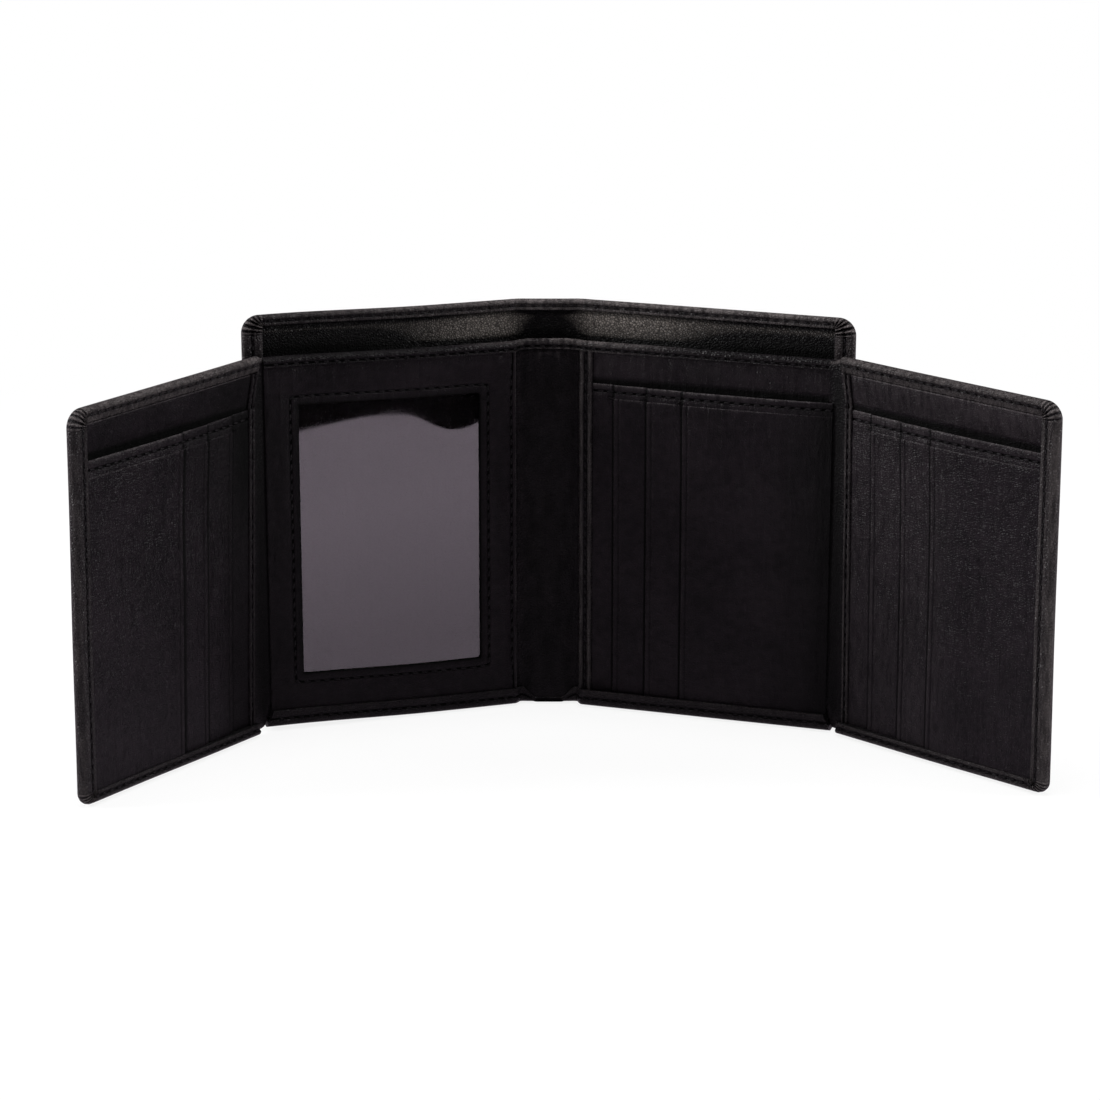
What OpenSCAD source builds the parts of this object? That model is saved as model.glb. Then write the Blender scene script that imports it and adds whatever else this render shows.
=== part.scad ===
// Folding leather wallet: a cover with a banknote compartment behind an inner wall,
// an identity window on the left half, card pockets on the right half, and a wing of
// card pockets that swings out from each outer edge.
//
// The wallet stands on its lower edge. X runs along the spine's width, Y points away
// from the open side, and Z is up. The origin is the middle of the spine's foot.
//
// Depths through a half are measured from the cover's back face towards the reader
// and are called v. Lengths along a half are measured from its fold line and are
// called u. Depths through a wing are measured from its front face.

/* [Cover] */
// Height of the cover
cover_h = 120; // [116:1:124]
// Length of one half, from its fold line to its outer edge
half_len = 79.5; // [79:0.5:84]
// Width of the spine, between its two fold lines
spine_w = 17; // [16.5:0.5:24]
// Thickness of the cover leather
cover_t = 1.1; // [0.9:0.1:1.3]
// Radius of the cover's outer corners
cover_r = 5; // [3:0.5:7]
// Height of the cover's turned top edge
cover_hem = 3.1; // [2.5:0.1:5]
// Width of the cover's turned outer edge
side_hem = 5.9; // [5.5:0.1:7]
// Height of the cover's turned lower edge, which holds the inner panels
lower_hem = 4.8; // [3.5:0.1:6]

/* [Banknote compartment] */
// Thickness of the cover's lining
lining_t = 0.4; // [0.3:0.1:0.6]
// Clear depth of the compartment
note_gap = 1.6; // [1.2:0.1:3]
// Height of the inner wall
wall_h = 108.7; // [106:0.1:112]
// Thickness of the inner wall
wall_t = 0.8; // [0.6:0.1:1]
// Height of the inner wall's turned top edge
wall_hem = 3; // [2.5:0.1:5]

/* [Identity window] */
// Start and end of the window along the left half
window_u = [12, 64.6]; // [8:0.1:68]
// Lower and upper edge of the window
window_z = [15, 94.5]; // [10:0.1:100]
// Radius of the window's corners
window_r = 1.5; // [0.5:0.1:3]
// Thickness of the frame leather
frame_t = 0.7; // [0.5:0.1:0.8]
// Thickness of the clear film
film_t = 0.3; // [0.2:0.1:0.4]

/* [Pockets] */
// Edges of the card pockets on the right half
half_slots = [10.8, 20.6, 31.2]; // [6:0.1:60]
// Edges of the card pockets on a wing
wing_slots = [11.3, 22.2, 32.6]; // [6:0.1:60]
// Thickness of the pocket leather
pocket_t = 0.4; // [0.3:0.05:0.45]
// Clear depth of a slip pocket
slip_gap = 0.25; // [0.15:0.05:0.3]
// Height of the slip pocket's edge
slip_z = 96.6; // [92:0.1:100]
// Height of the slip pocket's turned edge
slip_hem = 6.5; // [4:0.1:8]
// Width of the trim strip beside the pockets
trim_w = 3.4; // [2.5:0.1:5]

/* [Wings] */
// Length of a wing, from its fold line to its tip
wing_len = 74.2; // [70:0.1:74.2]
// Height of a wing
wing_h = 110.3; // [108:0.1:114]
// Distance of the wing's fold line along the half
wing_u = 75.5; // [75.5:0.1:76]
// Depth of the wing's fold line in front of the cover's back face
wing_v = 7.8; // [7.8:0.1:8.2]
// Thickness of the wing's outer leather
back_t = 0.9; // [0.7:0.1:1]
// Height of a wing's turned top edge
wing_hem = 4.3; // [3:0.1:6]
// Width of a wing's turned tip
tip_hem = 5.4; // [4:0.1:6]
// Height of a wing's turned lower edge
foot_hem = 3.6; // [3:0.1:5]
// Radius of a wing's upper tip corner
tip_top_r = 5; // [3:0.5:5]
// Radius of a wing's lower tip corner
tip_foot_r = 3.5; // [3:0.5:5]

/* [Rest pose] */
// Angle of the left half from flat
left_lift = 17.3; // [5:0.1:40]
// Angle of the right half from flat
right_lift = 17.3; // [5:0.1:40]
// Angle of the left wing from flat with its half
left_turn = 35; // [5:0.5:60]
// Angle of the right wing from flat with its half
right_turn = 25; // [5:0.5:60]

/* [Hidden] */
$fn = 64;
leather = [0.07, 0.065, 0.07];
pocket_leather = [0.09, 0.085, 0.09];
lining_leather = [0.13, 0.12, 0.13];
thread_colour = [0.04, 0.04, 0.04];
film_colour = [0.45, 0.43, 0.46, 0.5];

// Depths through a half
lining_v = cover_t + lining_t;
wall_v0 = lining_v + note_gap;
wall_v = wall_v0 + wall_t;
fold_v = wall_v + 0.1;
frame_v0 = wall_v + wall_t;
frame_v = frame_v0 + frame_t;
panel_v = wall_v + 0.5;
flap_t = 0.8;
rim_v = cover_t + 1.2;

// Heights of the pocket layers above the panel that they are sewn to
slip_h = slip_gap + pocket_t;
bank_h = slip_h + 3 * pocket_t;
left_face = frame_v;
right_face = panel_v + bank_h;

// Ends of the sheets beside the folds
fold_gap = 0.05;
panel_u = 1.2;
panel_end = wing_u - 1.1;
panel_top = wall_h - wall_t;
fold_y = cover_t / 2 - fold_v;

// Depths through a wing
wing_x = 0.8;
wing_face = bank_h + 0.65;
wing_board = wing_face + 0.45;
wing_t = wing_board + back_t;

// Sewing thread, as it lies on the leather
thread_w = 0.5;
thread_h = 0.2;

// Local Y range of a layer between two depths of a half
function depth(v0, v1) = [fold_v - v1, fold_v - v0];

// Local Y range of a layer between two heights above the sheet behind it
function above(h0, h1) = [-h1, -h0];

// A point of a wing, by its distance from the fold line and its depth, on its half
function wing_point(x, d, turn) = [
  wing_u + x * cos(turn) + d * sin(turn),
  fold_v - wing_v - x * sin(turn) + d * cos(turn)
];

// Block between three ranges
module slab(x, y, z) {
  translate([x[0], y[0], z[0]]) cube([x[1] - x[0], y[1] - y[0], z[1] - z[0]]);
}

// What a round corner of radius r leaves out of its square
module corner_cut(r) {
  difference() {
    square(r + 1);
    circle(r);
  }
}

// Upright outline with its two far corners rounded
module tab(x0, x1, h, top_r, foot_r) {
  difference() {
    translate([x0, 0]) square([x1 - x0, h]);
    translate([x1 - top_r, h - top_r]) corner_cut(top_r);
    translate([x1 - foot_r, foot_r]) mirror([0, 1]) corner_cut(foot_r);
  }
}

// Upright sheet made from an outline, between two local Y values
module sheet(y) {
  translate([0, y[1], 0]) rotate([90, 0, 0]) linear_extrude(y[1] - y[0]) children();
}

module half_pose(lift) {
  translate([spine_w / 2, fold_y, 0]) rotate([0, 0, -lift]) children();
}

// Places its children on one half, at the rest angle
module on_half(side) {
  if (side == "left") mirror([1, 0, 0]) half_pose(left_lift) children();
  else half_pose(right_lift) children();
}

module wing_pose(turn) {
  translate([wing_u, fold_v - wing_v, 0]) rotate([0, 0, -turn]) children();
}

// Places its children on one wing, at the rest angle
module on_wing(side) {
  on_half(side) wing_pose(side == "left" ? left_turn : right_turn) children();
}

// Places its children on the spine
module on_spine() {
  translate([0, fold_y, 0]) children();
}

// Leather that bends round one spine fold, between two depths
module fold_arc(side, v0, v1, z) {
  lift = side == "left" ? left_lift : right_lift;
  slack = 0.4;
  mirror([side == "left" ? 1 : 0, 0, 0])
    translate([spine_w / 2, fold_y, z[0]])
      rotate([0, 0, 90 - lift + slack])
        rotate_extrude(angle = lift - 2 * slack)
          translate([fold_v - v1, 0]) square([v1 - v0, z[1] - z[0]]);
}

// Cover of one half: outer leather, turned top and outer edges, and the lower edge
// that is folded up over the inner panels
module half_cover(face) {
  sheet(depth(0, cover_t)) tab(fold_gap, half_len, cover_h, cover_r, cover_r);
  difference() {
    sheet(depth(cover_t, rim_v)) tab(fold_gap, half_len, cover_h, cover_r, cover_r);
    slab([-1, half_len - side_hem], depth(0, fold_v), [-1, cover_h - cover_hem]);
  }
  slab([half_len - side_hem, panel_end], depth(rim_v, wall_v0), [cover_t, wall_h]);
  slab([fold_gap, panel_end], depth(cover_t, wall_v), [0, cover_t]);
  slab([panel_u, panel_end], depth(wall_v, face + flap_t), [0, cover_t]);
  slab([panel_u, panel_end], depth(face, face + flap_t), [0, lower_hem]);
}

module half_lining() {
  slab([fold_gap, half_len - side_hem], depth(cover_t, lining_v), [cover_t, cover_h - cover_hem]);
}

// Inner wall of one half, with its top edge turned over the panel in front of it
module half_wall(face) {
  slab([fold_gap, panel_end], depth(wall_v0, wall_v), [cover_t, wall_h]);
  slab([panel_u, panel_end], depth(wall_v, face + flap_t), [panel_top, wall_h]);
  slab([panel_u, panel_end], depth(face, face + flap_t), [wall_h - wall_hem, wall_h]);
}

// Thread of the cover's seams on one half
module half_cover_thread(face) {
  top_z = cover_h - 0.6 * cover_hem;
  side_u = half_len - 0.5 * side_hem;
  foot_z = 0.5 * lower_hem;
  slab([panel_u, side_u], depth(rim_v, rim_v + thread_h), [top_z, top_z + thread_w]);
  slab([side_u - thread_w, side_u], depth(rim_v, rim_v + thread_h), [wall_h + 1, top_z]);
  front = face + flap_t;
  slab([panel_u, panel_end], depth(front, front + thread_h), [foot_z, foot_z + thread_w]);
}

// Thread along the inner wall's turned top edge on one half
module half_wall_thread(face) {
  front = face + flap_t;
  z = wall_h - 0.6 * wall_hem;
  slab([panel_u, panel_end], depth(front, front + thread_h), [z - thread_w, z]);
}

// Pocket sheet with a turned top edge that steps up over the card pockets
module bank_slip(slots, x0, x1, foot) {
  seam = 2.5;
  hem_z = slip_z - slip_hem;
  starts = concat([x0 + trim_w], slots);
  ends = concat(slots, [x1]);
  slab([x0, x1], above(slip_gap, slip_h), [foot, slip_z]);
  slab([x0, x0 + seam], above(0, slip_gap), [foot, slip_z - slip_hem]);
  slab([x1 - seam, x1], above(0, slip_gap), [foot, slip_z - slip_hem]);
  for (i = [0:len(slots)])
    slab([starts[i], ends[i]], above(slip_h, slip_h + (i + 0.8) * pocket_t), [hem_z, slip_z]);
}

// One card pocket of a bank, counted from the one that lies deepest
module bank_card(slots, i, x1, foot) {
  level = slip_h + i * pocket_t;
  slab([slots[i], x1], above(level, level + pocket_t), [foot, slip_z - slip_hem]);
}

// Trim strip beside a bank, which lies on the panel above the slip pocket's edge
module bank_trim(x0, foot, top) {
  slab([x0, x0 + trim_w], above(slip_h, slip_h + 0.6), [foot, slip_z]);
  slab([x0, x0 + trim_w], above(0, slip_h + 0.6), [slip_z, top]);
}

module bank_trim_thread(x0, foot, top) {
  x = x0 + 0.5 * trim_w;
  front = slip_h + 0.6;
  slab([x, x + thread_w], above(front, front + thread_h), [foot, top - 1]);
}

// Places its children on the face of the right half's panel, or of a wing's panel
module on_card_panel() {
  on_half("right") translate([0, fold_v - panel_v, 0]) children();
}

module on_wing_panel(side) {
  on_wing(side) translate([0, wing_face, 0]) children();
}

// Outer leather of a wing, with its top, tip and lower edges turned to the front
module wing_back(side) {
  on_wing(side) {
    sheet([wing_board, wing_t]) tab(wing_x, wing_len, wing_h, tip_top_r, tip_foot_r);
    difference() {
      sheet([0, wing_board]) tab(wing_x, wing_len, wing_h, tip_top_r, tip_foot_r);
      slab([0, wing_len - tip_hem], [-1, wing_t], [foot_hem, wing_h - wing_hem]);
    }
  }
}

module wing_panel(side) {
  on_wing(side)
    slab([wing_x, wing_len - tip_hem], [wing_face, wing_board], [foot_hem, wing_h - wing_hem]);
}

module wing_thread(side) {
  top_z = wing_h - 0.5 * wing_hem;
  tip_x = wing_len - 0.6 * tip_hem;
  foot_z = 0.5 * foot_hem;
  on_wing(side) {
    slab([wing_x, tip_x], [-thread_h, 0], [top_z, top_z + thread_w]);
    slab([tip_x - thread_w, tip_x], [-thread_h, 0], [foot_z, top_z]);
    slab([wing_x, tip_x], [-thread_h, 0], [foot_z, foot_z + thread_w]);
  }
}

// Strip of soft leather between the cover's outer seam and the wing's outer leather
module gusset(side) {
  turn = side == "left" ? left_turn : right_turn;
  end_x = wing_x - fold_gap;
  back = fold_v - rim_v;
  front = back - 0.8;
  on_half(side) translate([0, 0, lower_hem]) linear_extrude(wall_h - wall_hem - lower_hem)
    polygon([
      [panel_end + 0.1, back],
      [panel_end + 3.4, back],
      wing_point(end_x, wing_t, turn),
      wing_point(end_x, wing_board, turn),
      [panel_end + 2.6, front],
      [panel_end + 0.1, front]
    ]);
}

// Spine
module cover_spine() {
  x = [fold_gap - spine_w / 2, spine_w / 2 - fold_gap];
  color(leather) on_spine() {
    slab(x, depth(0, cover_t), [0, cover_h]);
    slab(x, depth(cover_t, rim_v), [cover_h - cover_hem, cover_h]);
    slab(x, depth(cover_t, wall_v + flap_t), [0, cover_t]);
    slab(x, depth(wall_v, wall_v + flap_t), [0, lower_hem]);
  }
}

module lining_spine() {
  x = [fold_gap - spine_w / 2, spine_w / 2 - fold_gap];
  color(lining_leather) on_spine()
    slab(x, depth(cover_t, lining_v), [cover_t, cover_h - cover_hem]);
}

module note_wall_spine() {
  x = [fold_gap - spine_w / 2, spine_w / 2 - fold_gap];
  color(leather) on_spine() {
    slab(x, depth(wall_v0, wall_v), [cover_t, wall_h]);
    slab(x, depth(wall_v, wall_v + flap_t), [wall_h - wall_hem, wall_h]);
  }
}

module cover_thread_spine() {
  x = [panel_u - spine_w / 2, spine_w / 2 - panel_u];
  top_z = cover_h - 0.6 * cover_hem;
  foot_z = 0.5 * lower_hem;
  front = wall_v + flap_t;
  color(thread_colour) on_spine() {
    slab(x, depth(rim_v, rim_v + thread_h), [top_z, top_z + thread_w]);
    slab(x, depth(front, front + thread_h), [foot_z, foot_z + thread_w]);
  }
}

module note_wall_thread_spine() {
  x = [panel_u - spine_w / 2, spine_w / 2 - panel_u];
  front = wall_v + flap_t;
  z = wall_h - 0.6 * wall_hem;
  color(thread_colour) on_spine() slab(x, depth(front, front + thread_h), [z - thread_w, z]);
}

// Folds beside the spine
module cover_fold(side) {
  color(leather) {
    fold_arc(side, 0, cover_t, [0, cover_h]);
    fold_arc(side, cover_t, rim_v, [cover_h - cover_hem, cover_h]);
  }
}

module lining_fold(side) {
  color(lining_leather) fold_arc(side, cover_t, lining_v, [cover_t, cover_h - cover_hem]);
}

module note_wall_fold(side) {
  color(leather) fold_arc(side, wall_v0, wall_v, [cover_t, wall_h]);
}

// Left half
module cover_left() {
  color(leather) on_half("left") half_cover(left_face);
}

module lining_left() {
  color(lining_leather) on_half("left") half_lining();
}

module note_wall_left() {
  color(leather) on_half("left") half_wall(left_face);
}

// Frame round the window, turned under at its top, lower and outer edges
module id_frame() {
  edge = 5;
  outer = 6;
  under = depth(wall_v, frame_v0);
  color(pocket_leather) on_half("left") {
    difference() {
      slab([panel_u, panel_end], depth(frame_v0, frame_v), [cover_t, panel_top]);
      sheet(depth(wall_v, frame_v + 1)) window_outline(0);
    }
    slab([panel_u, panel_end], under, [cover_t, cover_t + edge]);
    slab([panel_u, panel_end], under, [panel_top - edge, panel_top]);
    slab([panel_end - outer, panel_end], under, [cover_t, panel_top]);
  }
}

// Outline of the window, grown on every side
module window_outline(grow) {
  r = window_r + grow;
  size = [window_u[1] - window_u[0] + 2 * grow, window_z[1] - window_z[0] + 2 * grow];
  translate([window_u[0] - grow, window_z[0] - grow]) {
    difference() {
      square(size);
      for (x = [0, 1], z = [0, 1])
        translate([x * size[0], z * size[1]]) mirror([x, 0]) mirror([0, z])
          translate([r, r]) rotate(180) corner_cut(r);
    }
  }
}

module id_film() {
  edge = 3;
  color(film_colour) on_half("left")
    slab([window_u[0] - edge, window_u[1] + edge], depth(frame_v0 - film_t, frame_v0),
      [window_z[0] - edge, window_z[1] + edge]);
}

module cover_thread_left() {
  color(thread_colour) on_half("left") half_cover_thread(left_face);
}

module note_wall_thread_left() {
  color(thread_colour) on_half("left") half_wall_thread(left_face);
}

// Thread round the window
module id_window_thread() {
  inset = 2.2;
  color(thread_colour) on_half("left") sheet(depth(frame_v, frame_v + thread_h)) difference() {
    window_outline(inset + thread_w);
    window_outline(inset);
  }
}

// Thread along the frame's free edge
module id_edge_thread() {
  u = panel_u + 1.2;
  color(thread_colour) on_half("left")
    slab([u, u + thread_w], depth(frame_v, frame_v + thread_h), [lower_hem, wall_h - wall_hem]);
}

// Right half
module cover_right() {
  color(leather) on_half("right") half_cover(right_face);
}

module lining_right() {
  color(lining_leather) on_half("right") half_lining();
}

module note_wall_right() {
  color(leather) on_half("right") half_wall(panel_v);
}

module card_panel() {
  color(pocket_leather) on_half("right")
    slab([panel_u, panel_end], depth(wall_v, panel_v), [cover_t, panel_top]);
}

module slip_pocket() {
  color(pocket_leather) on_card_panel() bank_slip(half_slots, panel_u, panel_end, cover_t);
}

module card_pocket(i) {
  color(pocket_leather) on_card_panel() bank_card(half_slots, i - 1, panel_end, cover_t);
}

module trim_strip() {
  color(leather) on_card_panel() bank_trim(panel_u, cover_t, wall_h - wall_hem);
}

module cover_thread_right() {
  color(thread_colour) on_half("right") half_cover_thread(right_face);
}

module note_wall_thread_right() {
  color(thread_colour) on_half("right") half_wall_thread(panel_v);
}

module trim_thread() {
  color(thread_colour) on_card_panel() bank_trim_thread(panel_u, lower_hem, wall_h - wall_hem);
}

// Wings
module wing_slip_pocket(side) {
  color(pocket_leather) on_wing_panel(side)
    bank_slip(wing_slots, wing_x, wing_len - tip_hem, foot_hem);
}

module wing_card_pocket(side, i) {
  color(pocket_leather) on_wing_panel(side)
    bank_card(wing_slots, i - 1, wing_len - tip_hem, foot_hem);
}

module wing_trim_strip(side) {
  color(leather) on_wing_panel(side) bank_trim(wing_x, foot_hem, wing_h - wing_hem);
}

module wing_trim_thread(side) {
  color(thread_colour) on_wing_panel(side) bank_trim_thread(wing_x, foot_hem + 1, wing_h - wing_hem);
}

cover_spine();
lining_spine();
note_wall_spine();
cover_thread_spine();
note_wall_thread_spine();
cover_fold("left");  // cover_fold_left
lining_fold("left");  // lining_fold_left
note_wall_fold("left");  // note_wall_fold_left
cover_fold("right");  // cover_fold_right
lining_fold("right");  // lining_fold_right
note_wall_fold("right");  // note_wall_fold_right
cover_left();
lining_left();
note_wall_left();
id_frame();
id_film();
color(leather) gusset("left");  // left_gusset
cover_thread_left();
note_wall_thread_left();
id_window_thread();
id_edge_thread();
cover_right();
lining_right();
note_wall_right();
card_panel();
slip_pocket();
card_pocket(1);  // card_pocket_1
card_pocket(2);  // card_pocket_2
card_pocket(3);  // card_pocket_3
trim_strip();
color(leather) gusset("right");  // right_gusset
cover_thread_right();
note_wall_thread_right();
trim_thread();
color(leather) wing_back("left");  // left_wing_back
color(pocket_leather) wing_panel("left");  // left_wing_panel
wing_slip_pocket("left");  // left_slip_pocket
wing_card_pocket("left", 1);  // left_card_pocket_1
wing_card_pocket("left", 2);  // left_card_pocket_2
wing_card_pocket("left", 3);  // left_card_pocket_3
wing_trim_strip("left");  // left_trim_strip
color(thread_colour) wing_thread("left");  // left_wing_thread
wing_trim_thread("left");  // left_trim_thread
color(leather) wing_back("right");  // right_wing_back
color(pocket_leather) wing_panel("right");  // right_wing_panel
wing_slip_pocket("right");  // right_slip_pocket
wing_card_pocket("right", 1);  // right_card_pocket_1
wing_card_pocket("right", 2);  // right_card_pocket_2
wing_card_pocket("right", 3);  // right_card_pocket_3
wing_trim_strip("right");  // right_trim_strip
color(thread_colour) wing_thread("right");  // right_wing_thread
wing_trim_thread("right");  // right_trim_thread
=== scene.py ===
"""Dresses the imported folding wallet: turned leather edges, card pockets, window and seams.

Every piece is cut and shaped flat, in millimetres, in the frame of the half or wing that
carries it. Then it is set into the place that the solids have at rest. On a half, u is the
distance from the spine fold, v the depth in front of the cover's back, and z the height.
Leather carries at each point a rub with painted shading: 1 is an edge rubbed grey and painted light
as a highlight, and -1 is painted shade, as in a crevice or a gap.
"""
import logging
import math
from dataclasses import dataclass, field
from enum import Enum
from typing import Callable, Sequence

import bmesh
import bpy
from mathutils import Matrix, Vector, noise


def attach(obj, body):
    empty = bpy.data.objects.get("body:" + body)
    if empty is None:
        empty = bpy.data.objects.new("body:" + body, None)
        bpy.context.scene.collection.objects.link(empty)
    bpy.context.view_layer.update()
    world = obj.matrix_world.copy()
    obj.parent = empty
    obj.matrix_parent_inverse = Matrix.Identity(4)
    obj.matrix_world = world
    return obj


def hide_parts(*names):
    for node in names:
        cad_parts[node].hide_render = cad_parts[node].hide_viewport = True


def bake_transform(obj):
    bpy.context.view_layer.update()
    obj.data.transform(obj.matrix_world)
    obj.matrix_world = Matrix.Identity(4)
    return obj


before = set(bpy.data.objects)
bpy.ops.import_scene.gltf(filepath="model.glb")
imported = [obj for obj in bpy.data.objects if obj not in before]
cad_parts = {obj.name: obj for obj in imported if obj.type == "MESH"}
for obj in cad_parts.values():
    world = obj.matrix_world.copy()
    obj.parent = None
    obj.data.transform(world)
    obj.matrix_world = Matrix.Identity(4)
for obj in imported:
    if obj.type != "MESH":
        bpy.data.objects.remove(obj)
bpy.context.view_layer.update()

LOG = logging.getLogger("wallet")
MM = 0.001
# Rows within this many millimetres are welded, and a cut keeps this close to its line
WELD, CUT = 0.004, 0.002
# Points of a finished piece within this many metres are one
MERGE = 2e-6
# Steps shorter than this are none
TINY = 1e-6
# Angle in degrees past which an edge stays sharp
SHARP = 42.0
# Thicknesses of the sheets in millimetres
LINING_T, FILM_T, PANEL_T, POCKET_T = 0.3, 0.2, 0.38, 0.3
# Directions along a flat piece, up it, and out of it towards the reader
ALONG, UP, OUT = Vector((1.0, 0.0, 0.0)), Vector((0.0, 0.0, 1.0)), Vector((0.0, -1.0, 0.0))

Point = tuple[float, float]
Row = tuple[float, float, float]
Vert = bmesh.types.BMVert
Socket = bpy.types.NodeSocket
Place = Callable[[Vector], Vector]
Columns = list[list[tuple[Vector, float]]]


class Side(Enum):
    """The two sides of the open wallet, as the reader sees them."""

    LEFT = "left"
    RIGHT = "right"

    @property
    def sign(self) -> float:
        """Direction of the side along X."""
        return -1.0 if self is Side.LEFT else 1.0


def smooth(low: float, high: float, x: float) -> float:
    """Ease from 0 to 1 between two values.

    Args:
        low: Value where the result is 0.
        high: Value where the result is 1.
        x: Value to judge.

    Returns:
        A number from 0 to 1.
    """
    t = min(1.0, max(0.0, (x - low) / (high - low)))
    return t * t * (3.0 - 2.0 * t)


def lines(start: float, end: float, step: float) -> list[float]:
    """Divide a length evenly.

    Args:
        start: First value.
        end: Last value.
        step: Wanted distance between values.

    Returns:
        The values, with both ends.
    """
    count = max(1, round(abs(end - start) / step))
    return [start + (end - start) * i / count for i in range(count + 1)]


def between(a: float, b: float, t: float) -> float:
    """Go part of the way from one value to another."""
    return a + (b - a) * t


def along(a: Point, b: Point, t: float) -> Point:
    """Go part of the way from one point to another."""
    return (between(a[0], b[0], t), between(a[1], b[1], t))


def spread(path: Sequence[Point], count: int) -> list[Point]:
    """Spread points evenly along a path.

    Args:
        path: Corners of the path.
        count: Number of points wanted.

    Returns:
        The points, with both ends of the path.
    """
    marks = [0.0]
    for a, b in zip(path, path[1:]):
        marks.append(marks[-1] + math.dist(a, b))
    points: list[Point] = []
    leg = 0
    for i in range(count):
        want = marks[-1] * i / (count - 1)
        while leg < len(marks) - 2 and marks[leg + 1] < want:
            leg += 1
        span = marks[leg + 1] - marks[leg]
        t = min(1.0, (want - marks[leg]) / span) if span else 0.0
        points.append(along(path[leg], path[leg + 1], t))
    return points


def elbow(start: Point, corner: Point, end: Point, count: int) -> list[Point]:
    """Spread points along two legs, with the corner in the middle.

    Args:
        start: Where the first leg starts.
        corner: Where the legs meet.
        end: Where the second leg ends.
        count: Odd number of points wanted.

    Returns:
        The points, with both ends.
    """
    half = count // 2 + 1
    return spread([start, corner], half) + spread([corner, end], half)[1:]


def arc(centre: Point, radius: float, first: float, last: float, count: int) -> list[Point]:
    """Spread points along an arc.

    Args:
        centre: Centre of the arc.
        radius: Radius of the arc.
        first: Angle of the first point, in degrees.
        last: Angle of the last point, in degrees.
        count: Number of points wanted.

    Returns:
        The points.
    """
    angles = [math.radians(first + (last - first) * i / (count - 1)) for i in range(count)]
    return [(centre[0] + radius * math.cos(a), centre[1] + radius * math.sin(a)) for a in angles]


@dataclass(frozen=True)
class Sizes:
    """Sizes of the wallet in millimetres, as its solids have them.

    A name ends in _h for a height, _t for a thickness, _r for a radius, _v for a depth in
    front of the cover's back, and _u for a distance from the spine fold. A hem is the width
    of a turned edge.
    """

    cover_h: float = 120.0
    half_len: float = 79.5
    spine_half: float = 8.5
    cover_t: float = 1.1
    cover_r: float = 5.0
    cover_hem: float = 3.1
    side_hem: float = 5.9
    lower_hem: float = 4.8
    lining_v: float = 1.5
    rim_v: float = 2.3
    wall_v0: float = 3.1
    wall_v: float = 3.9
    wall_h: float = 108.7
    wall_hem: float = 3.0
    fold_v: float = 4.0
    fold_y: float = -3.45
    frame_v: float = 5.4
    panel_v: float = 4.4
    bank_v: float = 6.25
    flap_t: float = 0.8
    panel_u: float = 1.2
    panel_end: float = 74.4
    panel_top: float = 107.9
    wing_u: float = 75.5
    wing_v: float = 7.8
    wing_x: float = 0.8
    wing_len: float = 74.2
    wing_h: float = 110.3
    wing_hem: float = 4.3
    tip_hem: float = 5.4
    foot_hem: float = 3.6
    tip_top_r: float = 5.0
    tip_foot_r: float = 3.5
    wing_face: float = 2.5
    wing_board: float = 2.95
    wing_t: float = 3.85

    def depth(self, v: float) -> float:
        """Turn a depth in front of the cover's back into a place across the half."""
        return self.fold_v - v


@dataclass(frozen=True)
class Fade:
    """Wear and painted light and shade that change along a half, between two distances from the
    spine fold.
    """

    near: float
    far: float
    start: float
    end: float

    def at(self, u: float) -> float:
        """Say how much wear and painted light the leather has at a distance from the spine fold."""
        return between(self.far, self.near, smooth(self.end, self.start, u))


@dataclass(frozen=True)
class Tone:
    """How much painted light and shade a bank of pockets has.

    Attributes:
        shade: Painted shade beside the fold, most towards the top.
        sheen: Painted light beside the fold.
        strip: Painted light on the panel above the slip pocket, painted shade where it is below
            nought.
        far_painted_shade: Painted shade at the far end.
        gaps: Widths of the painted shade lines before the second pocket and the third.
    """

    shade: float = 0.0
    sheen: float = 0.0
    strip: float = 0.0
    far_painted_shade: float = 0.0
    gaps: Point = (1.0, 1.0)

    def at(self, x: float, z: float) -> float:
        """Say how much painted light and shade the pockets have at a point.

        Args:
            x: Distance from the fold.
            z: Height.

        Returns:
            The rub, as painted light and shade.
        """
        near = self.shade * smooth(20.0, 6.0, x) * (0.75 + 0.65 * smooth(55.0, 82.0, z))
        near = max(near, 0.65 * self.shade * smooth(36.0, 22.0, x) * smooth(60.0, 85.0, z))
        far = self.far_painted_shade * (0.45 * smooth(52.0, 66.0, x) + 0.55 * smooth(66.0, 74.0, x))
        return self.sheen * smooth(46.0, 30.0, x) - near - far


@dataclass(frozen=True)
class WearAndShading:
    """How one side of the wallet is rubbed, and how much light and shade is painted on it.

    Attributes:
        cover_hem: Rub and painted highlight of the cover's turned edge at its foot, its outer end,
            its top corner and the spine.
        wing_hem: Rub and painted highlight of the wing's turned edge at its foot, its tip, its top
            corner and its fold.
        flap: Lower flap, and how dark the painted shade in its groove is.
        lining_top: Painted light on the lining at its top edge.
        lining_foot: Painted light and shade on the lining where it goes down behind the inner wall.
        wall: Rub and painted highlight of the turned edge of the inner wall.
        wall_groove: How dark the painted shade in the groove of that edge is.
        pockets: Painted light and shade on the pockets of the wing.
    """

    cover_hem: tuple[float, float, float, float]
    wing_hem: tuple[float, float, float, float]
    flap: Point
    lining_top: Fade
    lining_foot: Fade
    wall: Fade
    wall_groove: float
    pockets: Tone


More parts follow.
